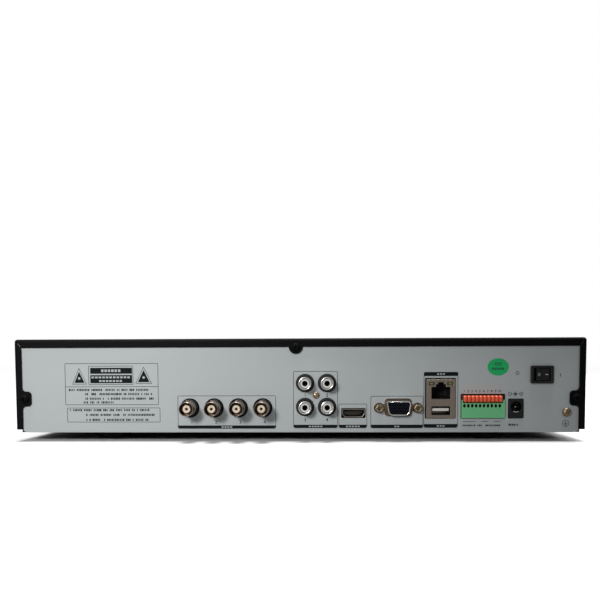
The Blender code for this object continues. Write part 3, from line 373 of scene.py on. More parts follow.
BLACK_STEEL = Finish(
    "black_powder_coat", (0.0028, 0.003, 0.0033), (0.0045, 0.0045, 0.0048), (0.04, 0.04, 0.042), 0.5,
    grain_scale=1800.0, bump=0.3, wear=0.45, dust=0.02, specular=0.05,
)
GREY_STEEL = Finish(
    "grey_satin_paint", (0.42, 0.45, 0.452), (0.385, 0.415, 0.42), (0.55, 0.58, 0.59), 0.46,
    grain_scale=2600.0, patch_scale=14.0, bump=0.12, wear=0.35, wear_radius=0.25 * MM,
)
WARM_NICKEL = Finish(
    "warm_nickel_plate", (0.4, 0.34, 0.285), (0.3, 0.245, 0.19), (0.75, 0.69, 0.62), 0.34, 1.0,
    grain_scale=1200.0, patch_scale=160.0, patch_amount=0.8, bump=0.1,
)
BRIGHT_PLATE = Finish(
    "bright_plate", (0.86, 0.85, 0.83), (0.72, 0.7, 0.67), (0.95, 0.95, 0.94), 0.24, 1.0,
    noise=Noise.TURNED_Y, grain_scale=900.0, patch_scale=240.0, bump=0.05,
)
BRASS_ZINC = Finish(
    "passivated_zinc", (0.42, 0.33, 0.22), (0.26, 0.19, 0.115), (0.8, 0.7, 0.55), 0.36, 1.0,
    patch_scale=320.0, patch_amount=0.8, bump=0.1,
)
GOLD_CONTACT = Finish(
    "gold_contact", (0.85, 0.6, 0.25), (0.7, 0.48, 0.2), (0.95, 0.8, 0.5), 0.25, 1.0, patch_scale=400.0,
)
# Painted shade: dark bronze that stands for the shade inside bores, on contacts deep in them and in threaded
# holes.
BORE_PAINTED_SHADE = Finish(
    "bore_painted_shade", (0.09, 0.055, 0.035), (0.045, 0.028, 0.018), (0.3, 0.22, 0.16), 0.38, 0.8,
    noise=Noise.TURNED_Y, patch_scale=300.0, bump=0.1,
)
BLACK_PLASTIC = Finish(
    "black_grained_plastic", (0.011, 0.011, 0.012), (0.018, 0.018, 0.019), (0.05, 0.05, 0.052), 0.48,
    grain_scale=1500.0, bump=0.4, dust=0.02,
)
# Painted shade: near-black that fills holes and mouths where there is only shade.
HOLLOW_PAINTED_SHADE = Finish(
    "hollow_painted_shade", (0.0025, 0.0025, 0.003), (0.004, 0.004, 0.0045), (0.01, 0.01, 0.011), 0.75,
    grain_scale=3500.0, bump=0.1,
)
# Painted shade: dark bronze on the video socket's flange behind the panel, for the shade in the panel's hole.
FLANGE_PAINTED_SHADE = Finish(
    "flange_painted_shade", (0.2, 0.145, 0.105), (0.14, 0.1, 0.07), (0.5, 0.42, 0.34), 0.4, 1.0,
    patch_scale=220.0, patch_amount=0.8, bump=0.1,
)
LAMP_DARK = Finish(
    "lamp_seat", (0.03, 0.032, 0.012), (0.02, 0.022, 0.009), (0.08, 0.08, 0.04), 0.4, patch_scale=300.0,
)
SOCKET_BLACK = Finish(
    "black_socket_moulding", (0.006, 0.006, 0.007), (0.01, 0.01, 0.011), (0.05, 0.05, 0.052), 0.42,
    grain_scale=3500.0, bump=0.15, specular=0.35,
)
ROCKER_PLASTIC = Finish(
    "rocker_plastic", (0.008, 0.008, 0.009), (0.013, 0.013, 0.014), (0.06, 0.06, 0.06), 0.4,
    grain_scale=3200.0, bump=0.15, specular=0.3,
)
KEY_PLASTIC = Finish(
    "key_plastic", (0.05, 0.051, 0.054), (0.065, 0.066, 0.07), (0.14, 0.14, 0.145), 0.38,
    grain_scale=3000.0, bump=0.15,
)
SMOKED = Finish(
    "smoked_window", (0.012, 0.003, 0.005), (0.018, 0.005, 0.007), (0.06, 0.03, 0.035), 0.08,
    grain_scale=900.0, roughness_spread=0.03, bump=0.01, coat=0.6,
)
TERMINAL_GREEN = Finish(
    "terminal_green_moulding", (0.16, 0.56, 0.25), (0.13, 0.48, 0.21), (0.3, 0.62, 0.38), 0.42,
    grain_scale=3000.0, patch_scale=120.0, bump=0.15,
)
LEVER_ORANGE = Finish(
    "lever_orange_moulding", (0.95, 0.13, 0.045), (0.78, 0.09, 0.03), (0.95, 0.35, 0.22), 0.34,
    grain_scale=3000.0, patch_scale=260.0, bump=0.12, wear=0.7,
)
CREAM = Finish(
    "cream_insulator", (0.8, 0.68, 0.52), (0.68, 0.54, 0.38), (0.92, 0.84, 0.72), 0.42,
    patch_scale=500.0, bump=0.1,
)
WHITE_PLASTIC = Finish(
    "white_insert", (0.74, 0.71, 0.68), (0.66, 0.62, 0.58), (0.86, 0.85, 0.83), 0.4, patch_scale=300.0,
)
DARK_INSERT = Finish(
    "dark_insert", (0.003, 0.004, 0.008), (0.006, 0.007, 0.013), (0.015, 0.016, 0.024), 0.5,
    patch_scale=300.0, wear=0.15, wear_radius=0.05 * MM, specular=0.1,
)
LAMP_GREEN = Finish(
    "lamp_lens", (0.2, 0.2, 0.05), (0.15, 0.16, 0.04), (0.4, 0.4, 0.2), 0.3, patch_scale=300.0, glow=0.12,
)
PANEL_INK = Finish(
    "panel_ink", (0.004, 0.006, 0.006), (0.008, 0.011, 0.011), (0.08, 0.09, 0.09), 0.6,
    grain_scale=4200.0, patch_scale=420.0, patch_amount=0.8, wear=0.1, wear_radius=0.02 * MM, specular=0.08,
)
PALE_INK = Finish(
    "pale_ink", (0.4, 0.43, 0.44), (0.33, 0.36, 0.37), (0.5, 0.5, 0.5), 0.5, patch_scale=420.0,
    wear_radius=0.02 * MM,
)
STICKER_GREEN = Finish(
    "sticker_green", (0.003, 0.44, 0.13), (0.003, 0.36, 0.1), (0.1, 0.42, 0.2), 0.4,
    patch_scale=260.0, bump=0.08, wear_radius=0.1 * MM,
)
STICKER_DARK = Finish(
    "sticker_dark_ink", (0.003, 0.1, 0.035), (0.003, 0.13, 0.045), (0.02, 0.2, 0.08), 0.4,
    patch_scale=420.0, wear_radius=0.02 * MM,
)
RUBBER = Finish(
    "foot_rubber", (0.014, 0.014, 0.014), (0.022, 0.022, 0.022), (0.05, 0.05, 0.05), 0.78,
    grain_scale=1600.0, bump=0.4, dust=0.04,
)
BOARD = Finish(
    "board_green", (0.012, 0.12, 0.045), (0.02, 0.17, 0.07), (0.3, 0.35, 0.2), 0.4,
    grain_scale=700.0, patch_scale=180.0, bump=0.2, coat=0.3,
)
ANODISED = Finish(
    "black_anodised", (0.02, 0.02, 0.022), (0.035, 0.035, 0.037), (0.3, 0.3, 0.3), 0.4, 0.8,
    noise=Noise.TURNED_Y, grain_scale=900.0,
)
CAST_METAL = Finish(
    "cast_aluminium", (0.5, 0.51, 0.52), (0.42, 0.43, 0.44), (0.75, 0.75, 0.75), 0.42, 1.0,
    grain_scale=900.0, bump=0.3,
)
CABLE_RED = Finish(
    "red_cable_jacket", (0.42, 0.018, 0.016), (0.34, 0.014, 0.012), (0.55, 0.1, 0.1), 0.45,
    noise=Noise.TURNED_Y, patch_scale=90.0,
)


# -------------------------------------------------------------------- mesh tools
TURN_MERGE = 0.0005 * MM


def arc(centre: Point2, radius: float, start: float, end: float, steps: int = 6) -> list[Point2]:
    """Return points of an arc between two angles in degrees."""
    turns = [math.radians(start + (end - start) * index / steps) for index in range(steps + 1)]
    return [(centre[0] + radius * math.cos(turn), centre[1] + radius * math.sin(turn)) for turn in turns]


def rounded_box(centre: Point2, size: Point2, radius: float, steps: int = 5) -> list[Point2]:
    """Return the outline of a rectangle with round corners."""
    half = (size[0] / 2 - radius, size[1] / 2 - radius)
    points: list[Point2] = []
    for side_a, side_b, turn in ((1, 1, 0), (-1, 1, 90), (-1, -1, 180), (1, -1, 270)):
        middle = (centre[0] + side_a * half[0], centre[1] + side_b * half[1])
        points += arc(middle, radius, turn, turn + 90, steps)
    return points


def circle(centre: Point2, radius: float, steps: int = 48) -> list[Point2]:
    """Return the outline of a circle."""
    return arc(centre, radius, 0, 360, steps)[:-1]


def add_prism(
    mesh: Solid, outline: Sequence[Point2], start: float, end: float, axis: Axis = Axis.Y
) -> None:
    """Add an outline extruded along an axis to a bmesh.

    Args:
        mesh: the bmesh that receives the solid.
        outline: points across the axis, in order round the shape.
        start: where the solid begins along the axis.
        end: where it ends.
        axis: the direction of the extrusion.
    """
    face = mesh.faces.new([mesh.verts.new(axis.place(a, b, start)) for a, b in outline])
    grown = bmesh.ops.extrude_face_region(mesh, geom=[face])["geom"]
    moved = [item for item in grown if isinstance(item, bmesh.types.BMVert)]
    bmesh.ops.translate(mesh, verts=moved, vec=axis.place(0.0, 0.0, end - start))


def add_frame(
    mesh: Solid, outer: Sequence[Point2], inner: Sequence[Point2], start: float, end: float
) -> None:
    """Add a closed ring between two outlines with equally many points, extruded along Y."""
    rings = [
        [mesh.verts.new((x, y, z)) for x, z in outline]
        for outline, y in ((outer, start), (inner, start), (inner, end), (outer, end))
    ]
    count = len(outer)
    for first, second in zip(rings, rings[1:] + rings[:1]):
        for index in range(count):
            after = (index + 1) % count
            mesh.faces.new((first[index], first[after], second[after], second[index]))


def turned(profile: Sequence[Point2], centre: Vector, steps: int = 64, axis: Axis = Axis.Y) -> Solid:
    """Turn a profile of (radius, height) points about an axis through a centre.

    Args:
        profile: points from one end on the axis to the other, or a closed ring off the axis.
        centre: a point on the axis; heights count from its origin along the axis.
        steps: how many sides the turned shape has.
        axis: the axis of turning, Y or Z.

    Returns:
        A new bmesh with the turned shape.
    """
    mesh = bmesh.new()
    along = axis.place(0.0, 0.0, 1.0)
    foot = Vector(centre)
    foot -= along * foot.dot(along)
    points = [mesh.verts.new(foot + Vector((radius, 0, 0)) + along * height) for radius, height in profile]
    edges = [mesh.edges.new(pair) for pair in zip(points, points[1:])]
    if profile[0][0] > 0:
        edges.append(mesh.edges.new((points[-1], points[0])))
    bmesh.ops.spin(
        mesh, geom=points + edges, cent=foot, axis=along, angle=math.tau, steps=steps, use_merge=True
    )
    bmesh.ops.remove_doubles(mesh, verts=mesh.verts, dist=TURN_MERGE)
    return mesh


def linked(name: str, data: bpy.types.ID) -> bpy.types.Object:
    """Return a new object with its data, linked to the scene."""
    made = bpy.data.objects.new(name, data)
    bpy.context.scene.collection.objects.link(made)
    return made


def baked(carrier: bpy.types.Object) -> bpy.types.Mesh:
    """Return an object's evaluated mesh and remove the object."""
    bpy.context.view_layer.update()
    evaluated = carrier.evaluated_get(bpy.context.evaluated_depsgraph_get())
    data = bpy.data.meshes.new_from_object(evaluated)
    bpy.data.objects.remove(carrier, do_unlink=True)
    return data


class Workshop:
    """Turns bmeshes and CAD nodes into finished pieces and reports them."""

    SMOOTH_ANGLE = math.radians(38)
    FLAT_AREA = 8.0 * MM * MM
    MERGE = 0.002 * MM
    SAME_PLANE = math.radians(0.5)
    BEVEL_STEPS = 2

    @classmethod
    def finish(
        cls,
        name: str,
        mesh: Solid,
        finishes: Finish | Sequence[Finish],
        slot: str,
        body: str = "root",
        stands_for: Sequence[str] = (),
        bevel: float = 0.0,
        pick: Callable[[Face], int] | None = None,
    ) -> bpy.types.Object:
        """Make a bmesh a finished piece that rides on a body.

        Args:
            name: the piece's name.
            mesh: its shape, which is used up.
            finishes: one finish, or several that pick chooses from.
            slot: the record's material slot; not used.
            body: the body that the piece rides on.
            stands_for: the CAD nodes that it replaces.
            bevel: width of a rounding on its sharp edges.
            pick: gives each face the index of its finish.

        Returns:
            The finished object.
        """
        bmesh.ops.recalc_face_normals(mesh, faces=mesh.faces)
        if pick:
            for face in mesh.faces:
                face.material_index = pick(face)
        data = bpy.data.meshes.new(name)
        mesh.to_mesh(data)
        mesh.free()
        return cls.adopt(name, data, finishes, slot, body, stands_for, bevel)

    @classmethod
    def adopt(
        cls,
        name: str,
        data: bpy.types.Mesh,
        finishes: Finish | Sequence[Finish],
        slot: str,
        body: str = "root",
        stands_for: Sequence[str] = (),
        bevel: float = 0.0,
    ) -> bpy.types.Object:
        made = linked(name, data)
        if data.materials:
            data.materials.clear()
        for finish in [finishes] if isinstance(finishes, Finish) else finishes:
            data.materials.append(finish.material())
        for face in data.polygons:
            face.use_smooth = not bevel or face.area < cls.FLAT_AREA
        if bevel:
            rounding = made.modifiers.new("rounding", "BEVEL")
            rounding.width = bevel
            rounding.segments = cls.BEVEL_STEPS
            rounding.limit_method = "ANGLE"
            rounding.angle_limit = cls.SMOOTH_ANGLE
            rounding.use_clamp_overlap = False
        else:
            data.set_sharp_from_angle(angle=cls.SMOOTH_ANGLE)
        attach(made, body)
        if stands_for:
            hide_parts(*stands_for)
        LOG.info("%s: %d faces on %s", name, len(data.polygons), body)
        return made

    @classmethod
    def copy_of(cls, node: str) -> Solid:
        """Return a CAD node's shape with its vertices merged and its flat faces joined."""
        mesh = bmesh.new()
        mesh.from_mesh(frame["nodes"][node].data)
        bmesh.ops.remove_doubles(mesh, verts=mesh.verts, dist=cls.MERGE)
        bmesh.ops.dissolve_limit(
            mesh, angle_limit=cls.SAME_PLANE, verts=mesh.verts, edges=mesh.edges,
            use_dissolve_boundaries=False,
        )
        return mesh

    @classmethod
    def soften(
        cls, node: str, finish: Finish | Sequence[Finish], slot: str, bevel: float, body: str = "root",
        pick: Callable[[Face], int] | None = None,
    ) -> bpy.types.Object:
        """Replace a CAD node by the same shape with rounded edges; the arguments are those of finish."""
        mesh = cls.copy_of(node)
        return cls.finish(f"{node}_finished", mesh, finish, slot, body, (node,), bevel, pick)

    @staticmethod
    def dress(node: str, finish: Finish) -> None:
        """Give a CAD node that stays as it is its finish."""
        data = frame["nodes"][node].data
        data.materials.clear()
        data.materials.append(finish.material())
        LOG.info("%s: kept, in %s", node, finish.name)


class GeometryTree:
    """A geometry node tree with named inputs, ending in Realize Instances and Set Material."""

    def __init__(self, name: str, **inputs: float | int | Vector) -> None:
        """Create the tree.

        Args:
            name: the tree's name.
            inputs: each named input with its value.
        """
        self.group = bpy.data.node_groups.new(name, "GeometryNodeTree")
        self.group.interface.new_socket("Geometry", in_out="INPUT", socket_type="NodeSocketGeometry")
        self.group.interface.new_socket("Geometry", in_out="OUTPUT", socket_type="NodeSocketGeometry")
        self.values: dict[str, object] = {}
        for label, value in inputs.items():
            kind = {int: "NodeSocketInt", float: "NodeSocketFloat"}.get(type(value), "NodeSocketVector")
            socket = self.group.interface.new_socket(label, in_out="INPUT", socket_type=kind)
            self.values[socket.identifier] = value
        self.given = self.group.nodes.new("NodeGroupInput")
        self.out = self.group.nodes.new("NodeGroupOutput")

    def node(self, kind: str, settings: dict[str, object] | None = None, **inputs: object) -> Node:
        """Add a node; each input is a value, a socket, or the name of a tree input after an at sign.

        Args:
            kind: the node's type without its GeometryNode prefix.
            settings: properties of the node itself.
            inputs: its input sockets by name, with underscores for spaces.

        Returns:
            The node.
        """
        prefix = "" if kind.startswith(("ShaderNode", "FunctionNode")) else "GeometryNode"
        made = self.group.nodes.new(prefix + kind)
        for label, value in (settings or {}).items():
            setattr(made, label, value)
        for label, value in inputs.items():
            socket = made.inputs[label.replace("_", " ")]
            if isinstance(value, Socket):
                self.group.links.new(value, socket)
            elif isinstance(value, str) and value.startswith("@"):
                self.group.links.new(self.given.outputs[value[1:]], socket)
            else:
                socket.default_value = value
        return made

    def line(self, count: str, start: str, offset: str) -> Socket:
        """Add a line of points from the tree inputs for its count, start and step."""
        made = self.node("MeshLine", {"mode": "OFFSET"}, Count=count, Start_Location=start, Offset=offset)
        return made.outputs[0]

    def placed(self, points: Socket, shape: Node, **inputs: object) -> Socket:
        """Add copies of a node's shape on points."""
        return self.node("InstanceOnPoints", Points=points, Instance=shape.outputs[0], **inputs).outputs[0]

    @staticmethod
    def socket(node: Node, label: str) -> Socket:
        """Return a node's input by name, among those in use."""
        return next(item for item in node.inputs if item.name == label and item.enabled)

    @staticmethod
    def enabled_output(node: Node) -> Socket:
        """Return a node's first output in use."""
        return next(item for item in node.outputs if item.enabled)

    def realise(
        self,
        name: str,
        shape: Socket,
        finish: Finish,
        slot: str,
        body: str = "root",
        stands_for: Sequence[str] = (),
        seed_shape: Solid | None = None,
        bevel: float = 0.0,
    ) -> bpy.types.Object:
        """Run the tree once and keep its result as a plain mesh.

        Args:
            name: the piece's name.
            shape: the geometry to realise.
            finish: the piece's finish.
            slot: the record's material slot; not used.
            body: the body it rides on.
            stands_for: the CAD nodes that it replaces.
            seed_shape: the shape that the tree receives as its geometry.
            bevel: width of a rounding on sharp edges.

        Returns:
            The finished object.
        """
        whole = self.node("RealizeInstances", Geometry=shape)
        coat = self.node("SetMaterial", Geometry=whole.outputs[0], Material=finish.material())
        self.group.links.new(coat.outputs[0], self.out.inputs[0])
        seed = bpy.data.meshes.new(f"{name}_seed")
        if seed_shape:
            seed_shape.to_mesh(seed)
            seed_shape.free()
        carrier = linked(f"{name}_carrier", seed)
        step = carrier.modifiers.new("tree", "NODES")
        step.node_group = self.group
        for identifier, value in self.values.items():
            step[identifier] = value
        data = baked(carrier)
        data.name = name
        return Workshop.adopt(name, data, finish, slot, body, stands_for, bevel)


def row_of_bars(
    name: str, count: int, start: Vector, pitch: Vector, size: Vector, finish: Finish, slot: str,
    body: str = "root",
) -> bpy.types.Object:
    """Make equal small bars in a row with geometry nodes.

    Args:
        name: the piece's name.
        count: how many bars.
        start: middle of the first bar.
        pitch: step from one bar to the next.
        size: a bar's size along X, Y and Z.
        finish: the bars' finish.
        slot: the record's material slot; not used.
        body: the body that they ride on.

    Returns:
        The finished object.
    """
    tree = GeometryTree(name, Count=count, Start=start, Pitch=pitch, Size=size)
    line = tree.line("@Count", "@Start", "@Pitch")
    bar = tree.node("MeshCube", Size="@Size")
    return tree.realise(name, tree.placed(line, bar), finish, slot, body)


# ------------------------------------------------------------------------- case
@dataclass
class Case:
    """Folded cover, panels, tray and feet, with their rounded edges."""

    fold: float = 0.35 * MM
    sheet_edge: float = 0.15 * MM
    foot_hole: float = 1.6 * MM
    foot_dish: Sequence[Point2] = ((1.6 * MM, 1.2 * MM), (3.4 * MM, 1.0 * MM), (3.8 * MM, 0.2 * MM))
    foot_lip: float = 4.2 * MM
    foot_edge: Sequence[Point2] = ((0.7 * MM, 0.0), (0.15 * MM, 0.25 * MM), (0.0, 0.8 * MM))
    foot_waist: Sequence[Point2] = ((0.0, 0.32), (0.35 * MM, 0.4), (0.35 * MM, 0.48), (0.2 * MM, 0.56))
    foot_hole_height: float = 0.6
    foot_shoulder: Point2 = (1.1 * MM, 0.5 * MM)
    foot_top: float = 1.5 * MM

    def build(self) -> None:
        """Soften the sheet parts and turn the feet."""
        Workshop.soften("top_cover", BLACK_STEEL, "black_steel", self.fold)
        Workshop.soften("rear_panel", GREY_STEEL, "grey_steel", self.sheet_edge)
        Workshop.soften("base_tray", BLACK_STEEL, "black_steel", self.sheet_edge)
        for end in ("front", "rear"):
            for side in ("left", "right"):
                self._foot(f"foot_{end}_{side}")

    def _foot(self, node: str) -> None:
        """Turn a rubber foot with a ribbed rim and a recessed fixing hole."""
        low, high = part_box(node)
        wide = (high.x - low.x) / 2
        height = high.z - low.z
        floor = low.z + self.foot_hole_height * height
        profile = [
            (0.0, floor), (self.foot_hole, floor),
            *((radius, low.z + rise) for radius, rise in self.foot_dish),
            (self.foot_lip, low.z),
            *((wide - inset, low.z + rise) for inset, rise in self.foot_edge),
            *((wide - inset, low.z + share * height) for inset, share in self.foot_waist),
            (wide - self.foot_shoulder[0], high.z - self.foot_shoulder[1]),
            (wide - self.foot_top, high.z), (0.0, high.z),
        ]
        mesh = turned(profile, middle_of(node), axis=Axis.Z)
        Workshop.finish(f"{node}_turned", mesh, RUBBER, "foot_rubber", stands_for=(node,))


# ----------------------------------------------------------------------- screws
@dataclass(frozen=True)
class ScrewHead:
    """A pan head with a cross recess.

    Attributes:
        node: the CAD screw that it stands for.
        finish: its plating.
        slot: the record's material slot.
        turn: angle of the cross in degrees.
    """

    node: str
    finish: Finish
    slot: str
    turn: float


@dataclass
class Screws:
    """All screws of the case, each made by one geometry tree."""

    heads: Sequence[ScrewHead] = (
        ScrewHead("cover_screw_left", BLACK_STEEL, "black_steel", 20),
        ScrewHead("cover_screw_right", BLACK_STEEL, "black_steel", -35),
        ScrewHead("cover_screw_top", BLACK_STEEL, "black_steel", 8),
        ScrewHead("ground_screw", BRASS_ZINC, "zinc_screw", 32),
        ScrewHead("phono_screw", BRASS_ZINC, "zinc_screw", 12),
    )
    dome: float = 0.55
    recess_width: float = 0.34
    recess_reach: float = 1.1
    recess_depth: float = 1.2

    def build(self) -> None:
        """Make every screw head."""
        for head in self.heads:
            self._head(head)

    def _head(self, head: ScrewHead) -> None:
        """Cut a cross into a dome and keep it as a mesh; its sizes are shares of the head's radius."""
        low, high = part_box(head.node)
        radius = (high.x - low.x) / 2
        centre = middle_of(head.node)
        rise = radius * self.dome
        centre.y = high.y - rise
        tree = GeometryTree(
            f"{head.node}_tree", Radius=radius, Centre=centre, Turn=Vector((0, math.radians(head.turn), 0)),
            Flatten=Vector((1.0, rise / radius, 1.0)),
            Blade=Vector((
                radius * self.recess_reach, radius * self.recess_depth, radius * self.recess_width
            )),
            Blade_Place=Vector((0, rise, 0)), Cross_Turn=Vector((0, math.pi / 2, 0)),
        )
        ball = tree.node("MeshUVSphere", Segments=40, Rings=20, Radius="@Radius")
        dome = tree.node("Transform", Geometry=ball.outputs[0], Scale="@Flatten")
        blade = tree.node("MeshCube", Size="@Blade")
        raised = tree.node("Transform", Geometry=blade.outputs[0], Translation="@Blade_Place")
        crossed = tree.node("Transform", Geometry=raised.outputs[0], Rotation="@Cross_Turn")
        cut = tree.node("MeshBoolean", {"operation": "DIFFERENCE", "solver": "EXACT"}, Mesh_1=dome.outputs[0])
        for cutter in (raised, crossed):
            tree.group.links.new(cutter.outputs[0], cut.inputs["Mesh 2"])
        placed = tree.node("Transform", Geometry=cut.outputs[0], Translation="@Centre", Rotation="@Turn")
        tree.realise(f"{head.node}_head", placed.outputs[0], head.finish, head.slot, stands_for=(head.node,))


# --------------------------------------------------------------- camera sockets
@dataclass
class CameraSockets:
    """Bayonet sockets, each with a plated barrel, an insulator and a contact."""

    count: int = 4
    barrel: float = 4.8 * MM
    bore: float = 4.15 * MM
    base: float = 5.6 * MM
    base_front: float = 1.5 * MM
    bore_depth: float = 8.0 * MM
    root: float = 4.0 * MM
    lug_radius: float = 1.0 * MM
    lug_setback: float = 4.2 * MM
    lug_reach: float = 0.75 * MM
    insulator: float = 2.55 * MM
    insulator_hole: float = 0.9 * MM
    insulator_setback: float = 2.0 * MM
    insulator_edge: float = 0.25 * MM
    insulator_flare: float = 0.35 * MM
    floor_gap: float = 0.3 * MM
    base_edge: float = 0.3 * MM
    neck: float = 0.45 * MM
    neck_ends: Point2 = (1.1 * MM, 1.5 * MM)
    rim: Sequence[Point2] = (
        (0.0, 2.2 * MM), (0.12 * MM, 2.0 * MM), (0.12 * MM, 0.4 * MM), (0.28 * MM, 0.08 * MM),
        (0.42 * MM, 0.0),
    )
    mouth: Sequence[Point2] = ((0.1 * MM, 0.05 * MM), (0.0, 0.3 * MM))
    ledge: float = 0.5 * MM
    ledge_heights: Point2 = (1.6 * MM, 1.5 * MM)
    lug_root: float = 0.4 * MM
    clearance: float = 0.05 * MM
    contact_rim: Sequence[Point2] = ((0.0, 1.2 * MM), (0.1 * MM, 1.0 * MM), (0.3 * MM, 1.1 * MM))
    contact_bore: float = 0.32 * MM
    contact_gap: float = 0.12 * MM
    contact_depth: float = 4.0 * MM

    def build(self) -> None:
        """Build every socket."""
        for number in range(1, self.count + 1):
            centre = middle_of(f"camera_insulator_{number}")
            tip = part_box(f"camera_socket_{number}")[1].y
            self._barrel(number, centre, tip)
            self._core(number, centre, tip)

    def _barrel(self, number: int, centre: Vector, tip: float) -> None:
        """Turn a barrel with a neck and two bayonet lugs."""
        seat = PANEL_Y + self.base_front
        back = PANEL_Y - self.root
        floor = tip - self.bore_depth
        profile = [
            (0.0, back), (self.base, back), (self.base, seat - self.base_edge),
            (self.base - self.base_edge, seat), (self.barrel - self.neck, seat),
            (self.barrel - self.neck, seat + self.neck_ends[0]), (self.barrel, seat + self.neck_ends[1]),
            *((self.barrel - inset, tip - setback) for inset, setback in self.rim),
            *((self.bore + flare, tip - setback) for flare, setback in self.mouth),
            (self.bore, floor + self.ledge_heights[0]),
            (self.bore - self.ledge, floor + self.ledge_heights[1]),
            (self.bore - self.ledge, floor), (0.0, floor),
        ]
        mesh = turned(profile, centre)
        for side in (1, -1):
            ends = (side * (self.barrel - self.lug_root), side * (self.barrel + self.lug_reach))
            start, end = (centre.z + value for value in ends)
            lug = circle((centre.x, tip - self.lug_setback), self.lug_radius, 20)
            add_prism(mesh, lug, start, end, Axis.Z)
        limit = self.bore + self.clearance

        def inside(face: Face) -> int:
            """Return 1 for a face of the bore, which is painted dark as shade, and 2 for one of the dark
            base.
            """
            middle = face.calc_center_median() - centre
            if middle.y < seat + self.clearance - centre.y:
                return 2
            deep = floor - 2 * self.clearance - centre.y
            return int(math.hypot(middle.x, middle.z) < limit and middle.y > deep)

        Workshop.finish(
            f"camera_barrel_{number}", mesh, (WARM_NICKEL, BORE_PAINTED_SHADE, SOCKET_BLACK), "nickel",
            stands_for=(f"camera_socket_{number}",), pick=inside,
        )

    def _core(self, number: int, centre: Vector, tip: float) -> None:
        """Turn the insulator and the split contact tube inside it; the tube is painted dark as shade."""
        floor = tip - self.bore_depth + self.floor_gap
        face = tip - self.insulator_setback
        ring = [
            (self.insulator_hole, floor), (self.insulator, floor),
            (self.insulator, face - self.insulator_edge), (self.insulator - self.insulator_edge, face),
            (self.insulator_hole + self.insulator_flare, face),
            (self.insulator_hole, face - self.insulator_flare),
        ]
        mesh = turned(ring, centre, 40)
        Workshop.finish(
            f"camera_insulator_ring_{number}", mesh, CREAM, "insulator",
            stands_for=(f"camera_insulator_{number}",),
        )
        outer = self.insulator_hole - self.contact_gap
        inner = face - self.contact_depth
        tube = [
            (0.0, floor), (outer, floor),
            *((outer - inset, face - setback) for inset, setback in self.contact_rim),
            (outer - self.contact_bore, inner), (0.0, inner),
        ]
        mesh = turned(tube, centre, 24)
        Workshop.finish(f"camera_contact_{number}", mesh, BORE_PAINTED_SHADE, "nickel")


# ---------------------------------------------------------------- phono sockets
@dataclass
class PhonoSockets:
    """Block of phono sockets: plated sleeves round white insulators."""

    count: int = 4
    sleeve: float = 4.2 * MM
    step: float = 3.3 * MM
    hole: float = 1.75 * MM
    housing_edge: float = 0.15 * MM
    white_setback: float = 0.45 * MM
    hole_depth: float = 7.0 * MM

    def build(self) -> None:
        """Build the housing and every sleeve."""
        Workshop.soften("phono_housing", SOCKET_BLACK, "black_plastic", self.housing_edge)
        for number in range(1, self.count + 1):
            node = f"phono_sleeve_{number}"
            low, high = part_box(node)
            self._sleeve(number, middle_of(node), low.y, high.y)

    def _sleeve(self, number: int, centre: Vector, back: float, tip: float) -> None:
        """Turn a sleeve with a stepped rim, and its white insulator round a hole whose inside is painted
        black as shade.
        """
        profile = [
            (self.step - 0.3 * MM, back), (self.sleeve, back), (self.sleeve, tip - 0.5 * MM),
            (self.sleeve - 0.12 * MM, tip - 0.12 * MM), (self.sleeve - 0.3 * MM, tip),
            (self.step + 0.25 * MM, tip), (self.step + 0.05 * MM, tip - 0.12 * MM),
            (self.step, tip - 0.5 * MM), (self.step - 0.3 * MM, tip - 1.2 * MM),
        ]
        mesh = turned(profile, centre)
        Workshop.finish(
            f"phono_ring_{number}", mesh, BRIGHT_PLATE, "nickel", stands_for=(f"phono_sleeve_{number}",)
        )
        front = tip - self.white_setback
        edge = self.step - 0.35 * MM
        white = [
            (0.0, back), (edge, back), (edge, front - 0.2 * MM), (edge - 0.2 * MM, front),
            (self.hole + 0.5 * MM, front), (self.hole + 0.15 * MM, front - 0.1 * MM),
            (self.hole, front - 0.5 * MM), (self.hole, front - self.hole_depth),
            (0.0, front - self.hole_depth),
        ]
        mesh = turned(white, centre, 48)
        limit = front - 0.45 * MM

        def inside(face: Face) -> int:
            """Return 1 for a face of the hole, painted black as shade."""
            middle = face.calc_center_median()
            return int(math.hypot(middle.x - centre.x, middle.z - centre.z) < self.hole + 0.05 * MM
                       and back + 0.1 * MM < middle.y < limit + 0.3 * MM)

        Workshop.finish(
            f"phono_insulator_{number}", mesh, (WHITE_PLASTIC, HOLLOW_PAINTED_SHADE), "white_insert", pick=inside
        )


